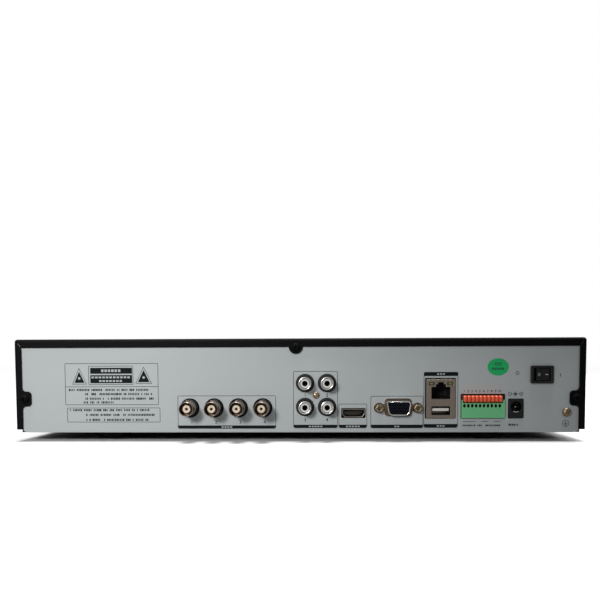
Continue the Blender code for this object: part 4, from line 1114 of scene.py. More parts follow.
# ----------------------------------------------------------------- flat sockets
@dataclass
class HdSocket:
    """Flat digital picture socket with its folded shell and contact tongue."""

    contact_count: int = 10
    contact_pitch: float = 1.0 * MM
    contact_size: Vector = field(default_factory=lambda: Vector((0.45, 5.0, 0.12)) * MM)
    contact_setback: float = 0.5 * MM
    contact_lift: float = 0.03 * MM
    shell_height: float = 5.5 * MM
    edge: float = 0.12 * MM
    back: float = 10.6 * MM
    liner_setback: float = 0.35 * MM
    liner_gap: float = 0.02 * MM
    liner_wall: float = 0.25 * MM
    opening: Point2 = (14.1 * MM, 4.6 * MM)
    foot_width: float = 10.8 * MM
    shoulder: float = 1.8 * MM

    def build(self) -> None:
        """Soften the shell and tongue, then add a black sheet of painted shade in the mouth and the contacts.
        """
        Workshop.soften("hd_out_shell", WARM_NICKEL, "nickel", self.edge)
        Workshop.soften("hd_out_tongue", SOCKET_BLACK, "dark_insert", self.edge)
        low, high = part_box("hd_out_tongue")
        start = Vector(((low.x + high.x - (self.contact_count - 1) * self.contact_pitch) / 2,
                        high.y - self.contact_size.y / 2 - self.contact_setback, high.z + self.contact_lift))
        pitch = Vector((self.contact_pitch, 0, 0))
        row_of_bars(
            "hd_out_contacts", self.contact_count, start, pitch, self.contact_size, GOLD_CONTACT, "nickel"
        )
        self._lining()

    def _lining(self) -> None:
        """Line the mouth with a thin black sheet of painted shade."""
        low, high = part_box("hd_out_shell")
        centre = ((low.x + high.x) / 2, high.z - self.shell_height / 2)
        outer = self._outline(centre, self.liner_gap)
        inner = self._outline(centre, self.liner_wall)
        mesh = bmesh.new()
        add_frame(mesh, outer, inner, high.y - self.back, high.y - self.liner_setback)
        Workshop.finish("hd_out_painted_shade", mesh, HOLLOW_PAINTED_SHADE, "dark_insert")

    def _outline(self, centre: Point2, inset: float) -> list[Point2]:
        """Return the mouth's outline, drawn in by an inset."""
        wide, high = self.opening[0] / 2 - inset, self.opening[1] / 2 - inset
        foot = self.foot_width / 2 - inset
        corners = [(wide, high), (-wide, high), (-wide, high - self.shoulder), (-foot, -high), (foot, -high),
                   (wide, high - self.shoulder)]
        return [(centre[0] + x, centre[1] + z) for x, z in corners]


@dataclass
class VideoSocket:
    """Fifteen-way video socket with drilled insert and two jackscrews."""

    FLANGE_SETBACK = 1.0 * MM

    rows: int = 3
    columns: int = 5
    pitch: float = 2.29 * MM
    row_pitch: float = 1.98 * MM
    stagger: float = 1.15 * MM
    hole: float = 0.58 * MM
    hole_depth: float = 3.0 * MM
    shell_edge: float = 0.32 * MM
    screw_edge: float = 0.2 * MM
    thread_sleeve: float = 1.38 * MM
    thread_root: float = 1.36 * MM
    thread_crest: float = 1.2 * MM
    thread_step: float = 0.25 * MM
    thread_setback: float = 0.2 * MM
    thread_points: int = 15

    def build(self) -> None:
        """Soften the metal, drill the insert and turn the jackscrews' threads."""
        Workshop.soften(
            "video_socket_shell", (BRIGHT_PLATE, FLANGE_PAINTED_SHADE), "nickel", self.shell_edge, pick=self._flange
        )
        self._insert()
        for side in ("left", "right"):
            Workshop.soften(f"video_jackscrew_{side}", BRASS_ZINC, "nickel", self.screw_edge)
            self._thread(side)

    @staticmethod
    def _flange(face: Face) -> int:
        """Return 1 for a face of the flange behind the panel, painted dark bronze as shade."""
        return int(face.calc_center_median().y < PANEL_Y - VideoSocket.FLANGE_SETBACK)

    def _insert(self) -> None:
        """Drill fifteen staggered holes into the insert with a geometry tree."""
        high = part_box("video_socket_insert")[1]
        centre = Vector((middle_of("video_socket_shell").x, high.y, middle_of("video_jackscrew_left").z))
        across = (self.columns - 1) * self.pitch / 2 + (self.rows - 1) * self.stagger / 2
        corner = centre - Vector((across, 0, (self.rows - 1) * self.row_pitch / 2))
        tree = GeometryTree(
            "video_insert_tree", Columns=self.columns, Rows=self.rows, Column_Step=Vector((self.pitch, 0, 0)),
            Row_Step=Vector((self.stagger, 0, self.row_pitch)), Radius=self.hole, Depth=self.hole_depth,
            Corner=corner, Turn=Vector((math.pi / 2, 0, 0)),
        )
        rows = tree.line("@Rows", "@Corner", "@Row_Step")
        row = tree.node("MeshLine", {"mode": "OFFSET"}, Count="@Columns", Offset="@Column_Step")
        places = tree.node("RealizeInstances", Geometry=tree.placed(rows, row))
        drill = tree.node("MeshCylinder", Vertices=16, Radius="@Radius", Depth="@Depth")
        laid = tree.node("Transform", Geometry=drill.outputs[0], Rotation="@Turn")
        solid = tree.node("RealizeInstances", Geometry=tree.placed(places.outputs[0], laid))
        cut = tree.node("MeshBoolean", {"operation": "DIFFERENCE", "solver": "EXACT"}, Mesh_1="@Geometry")
        tree.group.links.new(solid.outputs[0], cut.inputs["Mesh 2"])
        tree.realise("video_insert_drilled", cut.outputs[0], DARK_INSERT, "dark_insert",
                     stands_for=("video_socket_insert",), seed_shape=Workshop.copy_of("video_socket_insert"))

    def _thread(self, side: str) -> None:
        """Set a threaded sleeve, painted dark as shade, into a jackscrew's hole."""
        node = f"video_jackscrew_{side}"
        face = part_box(node)[1].y - self.thread_setback
        ridges = [
            (self.thread_root if step % 2 else self.thread_crest, face - self.thread_step * step)
            for step in range(self.thread_points)
        ]
        profile = [(self.thread_sleeve, ridges[-1][1]), (self.thread_sleeve, ridges[0][1])] + ridges
        mesh = turned(profile, middle_of(node), 24)
        Workshop.finish(f"video_jackscrew_thread_{side}", mesh, BORE_PAINTED_SHADE, "nickel")


@dataclass
class NetworkBlock:
    """Stacked network and bus sockets with black painted shade lining their mouths, contacts and lamps."""

    contact_count: int = 8
    contact_pitch: float = 1.02 * MM
    contact_wire: float = 0.2 * MM
    contact_base: Point2 = (1.0 * MM, 0.4 * MM)
    contact_crown: Point2 = (2.5 * MM, 3.0 * MM)
    contact_run: float = 8.5 * MM
    bus_contact_count: int = 4
    bus_contact_pitch: float = 2.2 * MM
    bus_contact: Vector = field(default_factory=lambda: Vector((1.1, 7.0, 0.2)) * MM)
    bus_contact_setback: float = 4.5 * MM
    wall: float = 0.3 * MM
    depth: float = 13.3 * MM
    gap: float = 0.02 * MM
    bus_depth: float = 11.8 * MM
    bus_radius: float = 0.2 * MM
    lining_setback: float = 0.25 * MM
    housing_edge: float = 0.2 * MM
    tongue_edge: float = 0.15 * MM
    mouth: Point2 = (12.4 * MM, 8.0 * MM)
    steps: Sequence[Point2] = ((6.6 * MM, 1.8 * MM), (3.8 * MM, 1.3 * MM))
    bus_mouth: Point2 = (12.3 * MM, 5.8 * MM)
    lamp: Vector = field(default_factory=lambda: Vector((2.1, 0.45, 1.0)) * MM)
    lamp_radius: float = 0.35 * MM
    lamp_edge: float = 0.15 * MM
    lamp_back: float = 0.55 * MM
    lamp_seat: Point2 = (3.75 * MM, 1.75 * MM)
    seat_radius: float = 0.2 * MM
    seat_edge: float = 0.1 * MM
    seat_span: Point2 = (0.95 * MM, 0.5 * MM)
    lamp_offset: float = 6.0 * MM
    lamp_rise: float = 6.1 * MM
    mouth_rise: float = 16.4 * MM
    bus_rise: float = 4.8 * MM

    def build(self) -> None:
        """Build every part of the block."""
        low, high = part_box("network_bus_housing")
        middle = (low.x + high.x) / 2
        Workshop.soften("network_bus_housing", WARM_NICKEL, "nickel", self.housing_edge)
        Workshop.soften("bus_tongue", WHITE_PLASTIC, "white_insert", self.tongue_edge)
        foot = low.z
        self._network(Vector((middle, high.y, foot + self.mouth_rise)))
        self._bus(Vector((middle, high.y, foot + self.bus_rise)))

    def _network(self, centre: Vector) -> None:
        """Line the network mouth with black painted shade and add contacts and lamps."""
        outer, inner = self._mouth(centre, self.gap), self._mouth(centre, self.wall)
        depth = self.depth
        mesh = bmesh.new()
        add_frame(mesh, outer, inner, centre.y - depth, centre.y - self.lining_setback)
        add_prism(mesh, self._mouth(centre, self.wall / 2), centre.y - depth, centre.y - depth + self.wall)
        Workshop.finish("network_painted_shade", mesh, HOLLOW_PAINTED_SHADE, "dark_insert")
        self._contacts(centre, depth)
        for side in (1, -1):
            place = (centre.x + side * self.lamp_offset, centre.z + self.lamp_rise)
            label = "left" if side > 0 else "right"
            mesh = bmesh.new()
            start, end = (centre.y - setback for setback in self.seat_span)
            add_prism(mesh, rounded_box(place, self.lamp_seat, self.seat_radius), start, end)
            Workshop.finish(f"network_lamp_seat_{label}", mesh, LAMP_DARK, "nickel", bevel=self.seat_edge)
            mesh = bmesh.new()
            lens = rounded_box(place, (self.lamp.x, self.lamp.z), self.lamp_radius)
            back = centre.y - self.lamp_back
            add_prism(mesh, lens, back, back + self.lamp.y)
            Workshop.finish(f"network_lamp_{label}", mesh, LAMP_GREEN, "nickel", bevel=self.lamp_edge)

    def _contacts(self, centre: Vector, depth: float) -> None:
        """Lay eight sprung wires along the mouth's floor with a geometry tree."""
        reach = self.contact_pitch * (self.contact_count - 1)
        ahead, rise = self.contact_base
        base = centre + Vector((-reach / 2, -depth + ahead, -self.mouth[1] / 2 + self.wall + rise))
        tree = GeometryTree(
            "network_contact_tree", Count=self.contact_count, Pitch=Vector((self.contact_pitch, 0, 0)),
            Base=base, Root=Vector((0, 0, 0)), Crown=Vector((0, *self.contact_crown)),
            Tip=Vector((0, self.contact_run, 0)), Radius=self.contact_wire,
        )
        bend = tree.node("CurveQuadraticBezier", Resolution=10, Start="@Root", Middle="@Crown", End="@Tip")
        profile = tree.node("CurvePrimitiveCircle", Resolution=8, Radius="@Radius")
        wire = tree.node(
            "CurveToMesh", Curve=bend.outputs[0], Profile_Curve=profile.outputs[0], Fill_Caps=True
        )
        line = tree.line("@Count", "@Base", "@Pitch")
        tree.realise("network_contacts", tree.placed(line, wire), GOLD_CONTACT, "nickel")

    def _mouth(self, centre: Vector, inset: float) -> list[Point2]:
        """Return the stepped mouth's outline, drawn in by an inset."""
        half, level = self.mouth[0] / 2 - inset, self.mouth[1] / 2 - inset
        right = [(half, -level), (half, level)]
        for wide, rise in self.steps:
            right.append((wide / 2 - inset, level))
            level += rise
            right.append((wide / 2 - inset, level))
        points = right + [(-x, z) for x, z in reversed(right)]
        return [(centre.x + x, centre.z + z) for x, z in points]

    def _bus(self, centre: Vector) -> None:
        """Line the bus mouth with black painted shade and add the contacts under its tongue."""
        mesh = bmesh.new()
        place = (centre.x, centre.z)
        outer, inner = (
            rounded_box(place, [value - 2 * inset for value in self.bus_mouth], self.bus_radius, 2)
            for inset in (self.gap, self.wall)
        )
        add_frame(mesh, outer, inner, centre.y - self.bus_depth, centre.y - self.lining_setback)
        Workshop.finish("bus_painted_shade", mesh, HOLLOW_PAINTED_SHADE, "dark_insert")
        low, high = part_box("bus_tongue")
        reach = self.bus_contact_pitch * (self.bus_contact_count - 1)
        size = self.bus_contact
        start = Vector((centre.x - reach / 2, high.y - self.bus_contact_setback, low.z - size.z / 2))
        pitch = Vector((self.bus_contact_pitch, 0, 0))
        row_of_bars("bus_contacts", self.bus_contact_count, start, pitch, size, GOLD_CONTACT, "nickel")


# -------------------------------------------------------------- wire terminal
@dataclass
class Terminal:
    """Ten-way wire terminal: green body, black painted shade in its pocket, wire holes and top band, and
    orange levers.
    """

    count: int = 10
    hole_size: Point2 = (1.62 * MM, 2.3 * MM)
    hole_radius: float = 0.78 * MM
    hole_rise: float = 7.3 * MM
    # carrier: height of the top band that is painted black as shade.
    carrier: float = 3.5 * MM
    edge: float = 0.12 * MM
    lever_edge: float = 0.22 * MM
    cut_merge: float = 0.001 * MM
    pocket: Point2 = (1.0 * MM, 2.5 * MM)
    cup_wall: float = 0.08 * MM
    cup_front: float = 0.3 * MM
    cup_floor: float = 1.75 * MM
    cup_back: float = 1.95 * MM

    def build(self) -> None:
        """Soften the body and levers, and paint black shade into the wire holes and the pocket."""
        self._body()
        for number in range(1, self.count + 1):
            node = f"terminal_lever_{number}"
            Workshop.soften(node, LEVER_ORANGE, "lever_orange", self.lever_edge, f"lever_{number}")
        self._hole_linings()

    def _body(self) -> None:
        """Soften the body and paint its top band and its pocket black as shade."""
        mesh = Workshop.copy_of("terminal_body")
        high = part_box("terminal_body")[1]
        parting = high.z - self.carrier
        whole = list(mesh.verts) + list(mesh.edges) + list(mesh.faces)
        bmesh.ops.bisect_plane(
            mesh, geom=whole, plane_co=(0, 0, parting), plane_no=(0, 0, 1), dist=self.cut_merge
        )

        def carrier(face: Face) -> int:
            """Return 1 for a face above the parting line or inside the pocket, both painted black as shade.
            """
            middle = face.calc_center_median()
            inside = middle.y < high.y - self.pocket[0] and middle.z > parting - self.pocket[1]
            return int(middle.z > parting + 10 * self.cut_merge or inside)

        Workshop.finish(
            "terminal_body_finished", mesh, (TERMINAL_GREEN, SOCKET_BLACK), "terminal_green",
            stands_for=("terminal_body",), bevel=self.edge, pick=carrier,
        )

    def _hole_linings(self) -> None:
        """Close each wire hole with a cup of black painted shade."""
        low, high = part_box("terminal_body")
        mesh = bmesh.new()
        for number in range(1, self.count + 1):
            centre = (middle_of(f"terminal_lever_{number}").x, low.z + self.hole_rise)
            outer = rounded_box(centre, self.hole_size, self.hole_radius, 4)
            inner = rounded_box(
                centre, [value - 2 * self.cup_wall for value in self.hole_size],
                self.hole_radius - self.cup_wall, 4,
            )
            add_frame(mesh, outer, inner, high.y - self.cup_back, high.y - self.cup_front)
            add_prism(mesh, inner, high.y - self.cup_back, high.y - self.cup_floor)
        Workshop.finish("terminal_hole_shade", mesh, HOLLOW_PAINTED_SHADE, "dark_insert")


# ------------------------------------------------------------- power and switch
@dataclass
class PowerInlet:
    """Barrel power inlet with its pin and the sprung outer contact."""

    edge: float = 0.25 * MM
    pin_clearance: float = 0.15 * MM
    pin_setback: float = 0.8 * MM
    strip: float = 3.1 * MM
    strip_wall: float = 0.45 * MM
    strip_ends: Point2 = (1.0 * MM, 0.8 * MM)
    strip_span: float = 32.0

    def build(self) -> None:
        """Soften the body, turn the pin and add the contact strip."""
        Workshop.soften("power_inlet_body", SOCKET_BLACK, "black_plastic", self.edge)
        low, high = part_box("power_inlet_pin")
        centre = middle_of("power_inlet_pin")
        wide = (high.x - low.x) / 2 - self.pin_clearance
        tip = high.y - self.pin_setback
        pin = [
            (0.0, low.y), (wide, low.y), (wide, tip - 0.6 * MM), (wide - 0.2 * MM, tip - 0.25 * MM),
            (wide - 0.5 * MM, tip), (0.0, tip + 0.05 * MM),
        ]
        Workshop.finish(
            "power_inlet_pin_turned", turned(pin, centre, 32), WARM_NICKEL, "nickel",
            stands_for=("power_inlet_pin",),
        )
        start, end = -90 - self.strip_span, -90 + self.strip_span
        point = (centre.x, centre.z)
        outline = arc(point, self.strip + self.strip_wall, start, end, 16)
        outline += arc(point, self.strip, end, start, 16)
        mesh = bmesh.new()
        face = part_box("power_inlet_body")[1].y
        add_prism(mesh, outline, low.y + self.strip_ends[0], face - self.strip_ends[1])
        Workshop.finish("power_inlet_contact", mesh, BRIGHT_PLATE, "nickel")


@dataclass
class PowerSwitch:
    """Panel switch: bezel, and a ribbed rocker with a bar mark."""

    edge: float = 0.3 * MM
    rocker_edge: float = 0.25 * MM
    mark: Point2 = (0.55 * MM, 2.0 * MM)
    mark_radius: float = 0.2 * MM
    mark_reach: float = 2.6 * MM
    mark_sunk: float = 0.05 * MM
    mark_proud: float = 0.03 * MM
    ring: Point2 = (0.95 * MM, 0.65 * MM)
    rest_tilt: float = math.radians(8.0)
    half_slope: float = math.atan2(0.9, 4.5)
    ridge_height: float = 2.3 * MM

    def build(self) -> None:
        """Soften the bezel and the rocker, then print the marks on the rocker."""
        Workshop.soften("power_switch_body", SOCKET_BLACK, "black_plastic", self.edge)
        Workshop.soften("power_rocker", ROCKER_PLASTIC, "rocker_plastic", self.rocker_edge, "rocker")
        self._marks()

    def _marks(self) -> None:
        """Lay a bar on one half of the rocker and a ring on the other, on its tilted faces."""
        centre = Vector(next(joint["pos_m"] for joint in frame["joints"] if joint["name"] == "rocker_tilt"))
        mesh = bmesh.new()
        self._bar(mesh, -1)
        self._ring(mesh, 1)
        mesh.transform(Matrix.Translation(centre) @ Matrix.Rotation(self.rest_tilt, 4, "Z"))
        Workshop.finish("rocker_marks", mesh, PALE_INK, "rocker_plastic", "rocker")

    def _bar(self, mesh: Solid, side: int) -> None:
        """Add the bar mark, upright on one half of the rocker."""
        part = bmesh.new()
        outline = rounded_box((0.0, 0.0), (self.mark[1], self.mark[0]), self.mark_radius, 3)
        add_prism(part, outline, -self.mark_sunk, self.mark_proud)
        self._seat(mesh, part, side)

    def _ring(self, mesh: Solid, side: int) -> None:
        """Add the ring mark on one half of the rocker."""
        part = bmesh.new()
        outer, inner = (circle((0.0, 0.0), radius, 32) for radius in self.ring)
        add_frame(part, outer, inner, -self.mark_sunk, self.mark_proud)
        self._seat(mesh, part, side)

    def _seat(self, mesh: Solid, part: Solid, side: int) -> None:
        """Move a mark onto its half of the rocker and join it to the mesh."""
        height = self.ridge_height + self.mark_reach * math.tan(self.half_slope)
        place = Matrix.Translation((side * self.mark_reach, height, 0))
        part.transform(place @ Matrix.Rotation(side * self.half_slope, 4, "Z"))
        held = bpy.data.meshes.new("mark")
        part.to_mesh(held)
        part.free()
        mesh.from_mesh(held)
        bpy.data.meshes.remove(held)


# --------------------------------------------------------------------- printing
class BarPlace(Enum):
    """Where a printed frame has its wide bar."""

    FOOT = "foot"
    TOP_AND_FOOT = "top and foot"


@dataclass(frozen=True)
class PortFrame:
    """A printed frame round a group of sockets, in millimetres on the panel.

    Attributes:
        left, right: its sides, counted to the viewer's right of the panel's middle.
        foot, top: its lower and upper edges above the panel's foot.
        bar_top: upper edge of the bar at its foot.
        marks: how many pale dashes its bar holds.
        bars: where the bars are.
    """

    left: float
    right: float
    foot: float
    top: float
    bar_top: float
    marks: int
    bars: BarPlace = BarPlace.FOOT


@dataclass(frozen=True)
class TextRow:
    """A row of plain dashes that stands for a line of small print."""

    left: float
    right: float
    middle: float
    seed: int


@dataclass
class PanelPrint:
    """Everything printed or stuck on the connector panel."""

    line: float = 0.3
    ink: float = 0.03 * MM
    row_height: float = 1.55
    letter_pitch: float = 1.07
    digit_height: float = 2.1
    digit_size: float = 1.4
    digit_merge: float = 0.001 * MM
    boldness: float = 0.02
    small_digit_height: float = 1.5
    sunk: float = 0.02 * MM
    bar_lift: float = 0.01 * MM
    pale_lift: float = 0.03 * MM
    frame_radius: float = 0.6
    bar_cut: float = 1.3
    top_bar: float = 2.6
    top_radius: float = 1.6
    dash_pitch: float = 1.9
    dash_width: float = 1.3
    dash_half_height: float = 0.45
    port_frames: Sequence[PortFrame] = (
        PortFrame(-79.3, -14.2, 2.46, 24.35, 4.6, 4),
        PortFrame(-2.7, 26.5, 2.8, 40.3, 5.0, 5),
        PortFrame(27.1, 45.7, 2.8, 18.8, 5.0, 5),
        PortFrame(48.05, 82.4, 2.7, 23.9, 5.0, 2),
        PortFrame(82.7, 105.0, 2.95, 39.5, 5.4, 3, BarPlace.TOP_AND_FOOT),
    )
    brackets: Sequence[Point2] = ((108.4, 116.6), (120.6, 124.8), (128.4, 132.9))
    bracket_level: float = 7.1
    notice_rows: Sequence[TextRow] = (
        TextRow(-153.1, -97.5, 28.3, 1), TextRow(-142.2, -95.5, 25.5, 2), TextRow(-142.2, -94.5, 22.5, 3),
        TextRow(-142.2, -121.5, 20.0, 4), TextRow(-151.7, -95.0, 14.9, 5), TextRow(-140.7, -94.5, 11.7, 6),
        TextRow(-140.7, -97.5, 8.4, 7),
    )
    terminal_row: TextRow = TextRow(108.0, 133.6, 4.5, 11)
    terminal_row_height: float = 1.2
    inlet_row: TextRow = TextRow(138.0, 146.5, 4.9, 12)
    inlet_row_height: float = 1.5
    notice_boxes: Sequence[Edges] = (
        (-154.3, -92.0, 18.3, 45.9), (-153.3, -91.0, 6.8, 16.45), (-138.5, -108.7, 31.7, 44.2),
    )
    notice_rule: Point2 = (-154.1, -92.2)
    notice_rule_level: float = 30.4
    notice_blocks: Sequence[Edges] = ((-137.3, -109.4, 39.0, 42.9), (-137.3, -109.4, 32.75, 38.1))
    notice_dashes: Sequence[Edges] = (
        (-130.0, -116.5, 41.0, 0.85), (-136.5, -110.2, 36.6, 0.6), (-131.5, -115.5, 34.2, 0.6),
    )
    notice_dash_pitch: float = 2.2
    notice_dash_share: float = 0.72
    triangles: Sequence[tuple[Point2, float, float, float]] = (
        ((-144.8, 42.9), 32.0, -149.5, -139.7), ((-101.7, 43.6), 32.4, -107.2, -96.2),
    )
    triangle_line: float = 0.28
    triangle_core: float = 1.0
    triangle_mark_height: float = 0.36
    triangle_mark: float = 0.85
    switch_ring: Point2 = (143.3, 38.7)
    switch_ring_radii: Point2 = (1.15, 0.8)
    switch_bar: Edges = (170.8, 171.2, 36.3, 38.5)
    ground: Point2 = (174.9, 5.8)
    ground_ring_radii: Point2 = (2.25, 1.98)
    ground_stem: Point2 = (0.14, 1.6)
    ground_bars: Sequence[float] = (1.3, 0.85, 0.4)
    ground_bar_pitch: float = 0.55
    ground_bar_height: float = 0.28
    pole_level: float = 25.1
    poles: Point2 = (138.6, 146.0)
    pole_ring_radii: Point2 = (1.25, 0.98)
    pole_sign: Point2 = (0.6, 0.13)
    pole_upright: Point2 = (145.87, 146.13)
    pole_wires: Sequence[Point2] = ((139.85, 141.2), (143.0, 144.75))
    pole_dot: Point2 = (142.3, 0.75)
    pole_cup_radii: Point2 = (1.35, 1.08)
    dash_kept: float = 0.82
    dash_share: float = 0.8
    camera_numbers: Sequence[float] = (-71.2, -55.1, -39.0, -22.9)
    camera_number_shift: float = 1.2
    camera_number_level: float = 6.8
    sound_numbers: Sequence[Point2] = ((5.1, 24.5), (19.5, 24.5), (5.1, 8.2), (19.5, 8.2))
    terminal_number_level: float = 26.9
    terminal_count: int = 10
    sticker: Point2 = (130.8, 42.7)
    sticker_half: Point2 = (6.9, 5.6)
    sticker_sides: int = 64
    sticker_edge: float = 0.03 * MM
    sticker_back: float = 0.02 * MM
    sticker_face: float = 0.1 * MM
    sticker_ink: Point2 = (0.05 * MM, 0.13 * MM)
    sticker_boxes: Sequence[Edges] = ((-2.1, -0.3, 0.9, 2.9), (0.3, 2.1, 0.9, 2.9))
    sticker_line: float = 0.45
    sticker_bars: int = 5
    sticker_bar_pitch: float = 1.65
    sticker_bar: Edges = (-4.0, 1.2, -1.9, -0.5)

    def build(self) -> None:
        """Print everything."""
        dark = bmesh.new()
        pale = bmesh.new()
        self._notice(dark, pale)
        for shape in self.port_frames:
            self._port_frame(dark, pale, shape)
        self._switch_marks(dark)
        self._ground_mark(dark)
        self._polarity_mark(dark)
        for left, right in self.brackets:
            half = self.line / 2
            self._bar(dark, left, right, self.bracket_level - half, self.bracket_level + half)
        self._close(dark, "panel_print_dark", PANEL_INK)
        self._close(pale, "panel_print_pale", PALE_INK)
        self._rows("notice_rows", self.notice_rows, self.row_height)
        self._rows("terminal_row", (self.terminal_row,), self.terminal_row_height)
        self._rows("inlet_row", (self.inlet_row,), self.inlet_row_height)
        self._digits()
        self._sticker()

    def _close(self, mesh: Solid, name: str, finish: Finish) -> None:
        """Make a layer of print a finished piece."""
        Workshop.finish(name, mesh, finish, "grey_steel")

    def _shape(self, mesh: Solid, outline: Sequence[Point2], lift: float = 0.0) -> None:
        """Print a filled outline given in panel millimetres."""
        points = [panel_point(across, up) for across, up in outline]
        add_prism(mesh, points, PANEL_Y - self.sunk, PANEL_Y + self.ink + lift)

    def _bar(
        self, mesh: Solid, left: float, right: float, foot: float, top: float, lift: float = 0.0
    ) -> None:
        """Print a filled rectangle."""
        self._shape(mesh, [(left, foot), (right, foot), (right, top), (left, top)], lift)

    def _outline(self, mesh: Solid, outline: Sequence[Point2], inner: Sequence[Point2]) -> None:
        """Print the ring between two outlines of equally many points."""
        rings = [[panel_point(across, up) for across, up in points] for points in (outline, inner)]
        add_frame(mesh, rings[0], rings[1], PANEL_Y - self.sunk, PANEL_Y + self.ink)

    def _box(self, mesh: Solid, left: float, right: float, foot: float, top: float,
             radius: float = 0.2) -> None:
        """Print a rectangle as a thin line."""
        centre = ((left + right) / 2, (foot + top) / 2)
        size = (right - left, top - foot)
        inner = (size[0] - 2 * self.line, size[1] - 2 * self.line)
        edge = rounded_box(centre, size, radius + self.line, 3)
        self._outline(mesh, edge, rounded_box(centre, inner, radius, 3))

    def _port_frame(self, dark: Solid, pale: Solid, shape: PortFrame) -> None:
        """Print a frame with its bar, whose lower corners are cut, and pale dashes in the bar."""
        self._box(dark, shape.left, shape.right, shape.foot, shape.top, self.frame_radius)
        cut = self.bar_cut
        corners = [
            (shape.left, shape.bar_top), (shape.left, shape.foot + cut), (shape.left + cut, shape.foot),
            (shape.right - cut, shape.foot), (shape.right, shape.foot + cut), (shape.right, shape.bar_top),
        ]
        self._shape(dark, corners, self.bar_lift)
        self._dashes(pale, shape, (shape.foot + shape.bar_top) / 2)
        if shape.bars is BarPlace.TOP_AND_FOOT:
            low = shape.top - self.top_bar
            turn = self.top_radius
            upper = [(shape.left, low), (shape.right, low)]
            upper += arc((shape.right - turn, shape.top - turn), turn, 0, 90)
            upper += arc((shape.left + turn, shape.top - turn), turn, 90, 180)
            self._shape(dark, upper, self.bar_lift)
            self._dashes(pale, shape, shape.top - self.top_bar / 2)

    def _dashes(self, pale: Solid, shape: PortFrame, level: float) -> None:
        """Print pale dashes side by side in the middle of a bar."""
        middle = (shape.left + shape.right) / 2
        wide, high = self.dash_width, self.dash_half_height
        for index in range(shape.marks):
            centre = middle + (index - (shape.marks - 1) / 2) * self.dash_pitch
            self._bar(pale, centre - wide / 2, centre + wide / 2, level - high, level + high, self.pale_lift)

    def _triangle(self, apex: Point2, foot: float, left: float, right: float, inset: float) -> list[Point2]:
        """Return a triangle's outline drawn in by an inset."""
        slope = math.hypot((right - left) / 2, apex[1] - foot)
        drop = inset * slope / ((right - left) / 2)
        side = inset * (slope + (right - left) / 2) / (apex[1] - foot)
        return [(left + side, foot + inset), (right - side, foot + inset), (apex[0], apex[1] - drop)]

    def _notice(self, dark: Solid, pale: Solid) -> None:
        """Print the notice's boxes, its two plain triangles and its dark block."""
        upper, lower, block = self.notice_boxes
        self._box(dark, *upper)
        level = self.notice_rule_level
        self._bar(dark, *self.notice_rule, level - self.line / 2, level + self.line / 2)
        self._box(dark, *lower)
        for apex, foot, left, right in self.triangles:
            outer = self._triangle(apex, foot, left, right, 0.0)
            self._outline(dark, outer, self._triangle(apex, foot, left, right, self.triangle_line))
            self._shape(dark, self._triangle(apex, foot, left, right, self.triangle_core))
            centre = (apex[0], foot + (apex[1] - foot) * self.triangle_mark_height)
            self._shape(pale, circle(centre, self.triangle_mark, 20), self.pale_lift)
        self._box(dark, *block)
        for edges in self.notice_blocks:
            self._bar(dark, *edges)
        for left, right, level, high in self.notice_dashes:
            count = int((right - left) / self.notice_dash_pitch)
            step = (right - left) / count
            for index in range(count):
                start = left + index * step
                end = start + step * self.notice_dash_share
                self._bar(pale, start, end, level - high, level + high, self.pale_lift)

    def _ring(self, dark: Solid, centre: Point2, radii: Point2, steps: int = 32) -> None:
        """Print a ring between two radii."""
        outer, inner = (circle(centre, radius, steps) for radius in radii)
        self._outline(dark, outer, inner)

    def _switch_marks(self, dark: Solid) -> None:
        """Print a ring and an upright bar beside the switch."""
        self._ring(dark, self.switch_ring, self.switch_ring_radii)
        self._bar(dark, *self.switch_bar)

    def _ground_mark(self, dark: Solid) -> None:
        """Print the ground mark: three shrinking bars under a stem, in a ring."""
        across, up = self.ground
        half, stem = self.ground_stem
        self._ring(dark, self.ground, self.ground_ring_radii, 40)
        self._bar(dark, across - half, across + half, up, up + stem)
        for index, wide in enumerate(self.ground_bars):
            level = up - index * self.ground_bar_pitch
            self._bar(dark, across - wide, across + wide, level - self.ground_bar_height, level)

    def _polarity_mark(self, dark: Solid) -> None:
        """Print two rings on a line through a dot, for a barrel plug's poles."""
        level = self.pole_level
        reach, half = self.pole_sign
        for across in self.poles:
            self._ring(dark, (across, level), self.pole_ring_radii)
            self._bar(dark, across - reach, across + reach, level - half, level + half)
        self._bar(dark, *self.pole_upright, level - reach, level + reach)
        for ends in self.pole_wires:
            self._bar(dark, *ends, level - half, level + half)
        centre = (self.pole_dot[0], level)
        self._shape(dark, circle(centre, self.pole_dot[1], 20))
        outer, inner = self.pole_cup_radii
        self._shape(dark, arc(centre, outer, 60, 300, 12) + arc(centre, inner, 300, 60, 12))

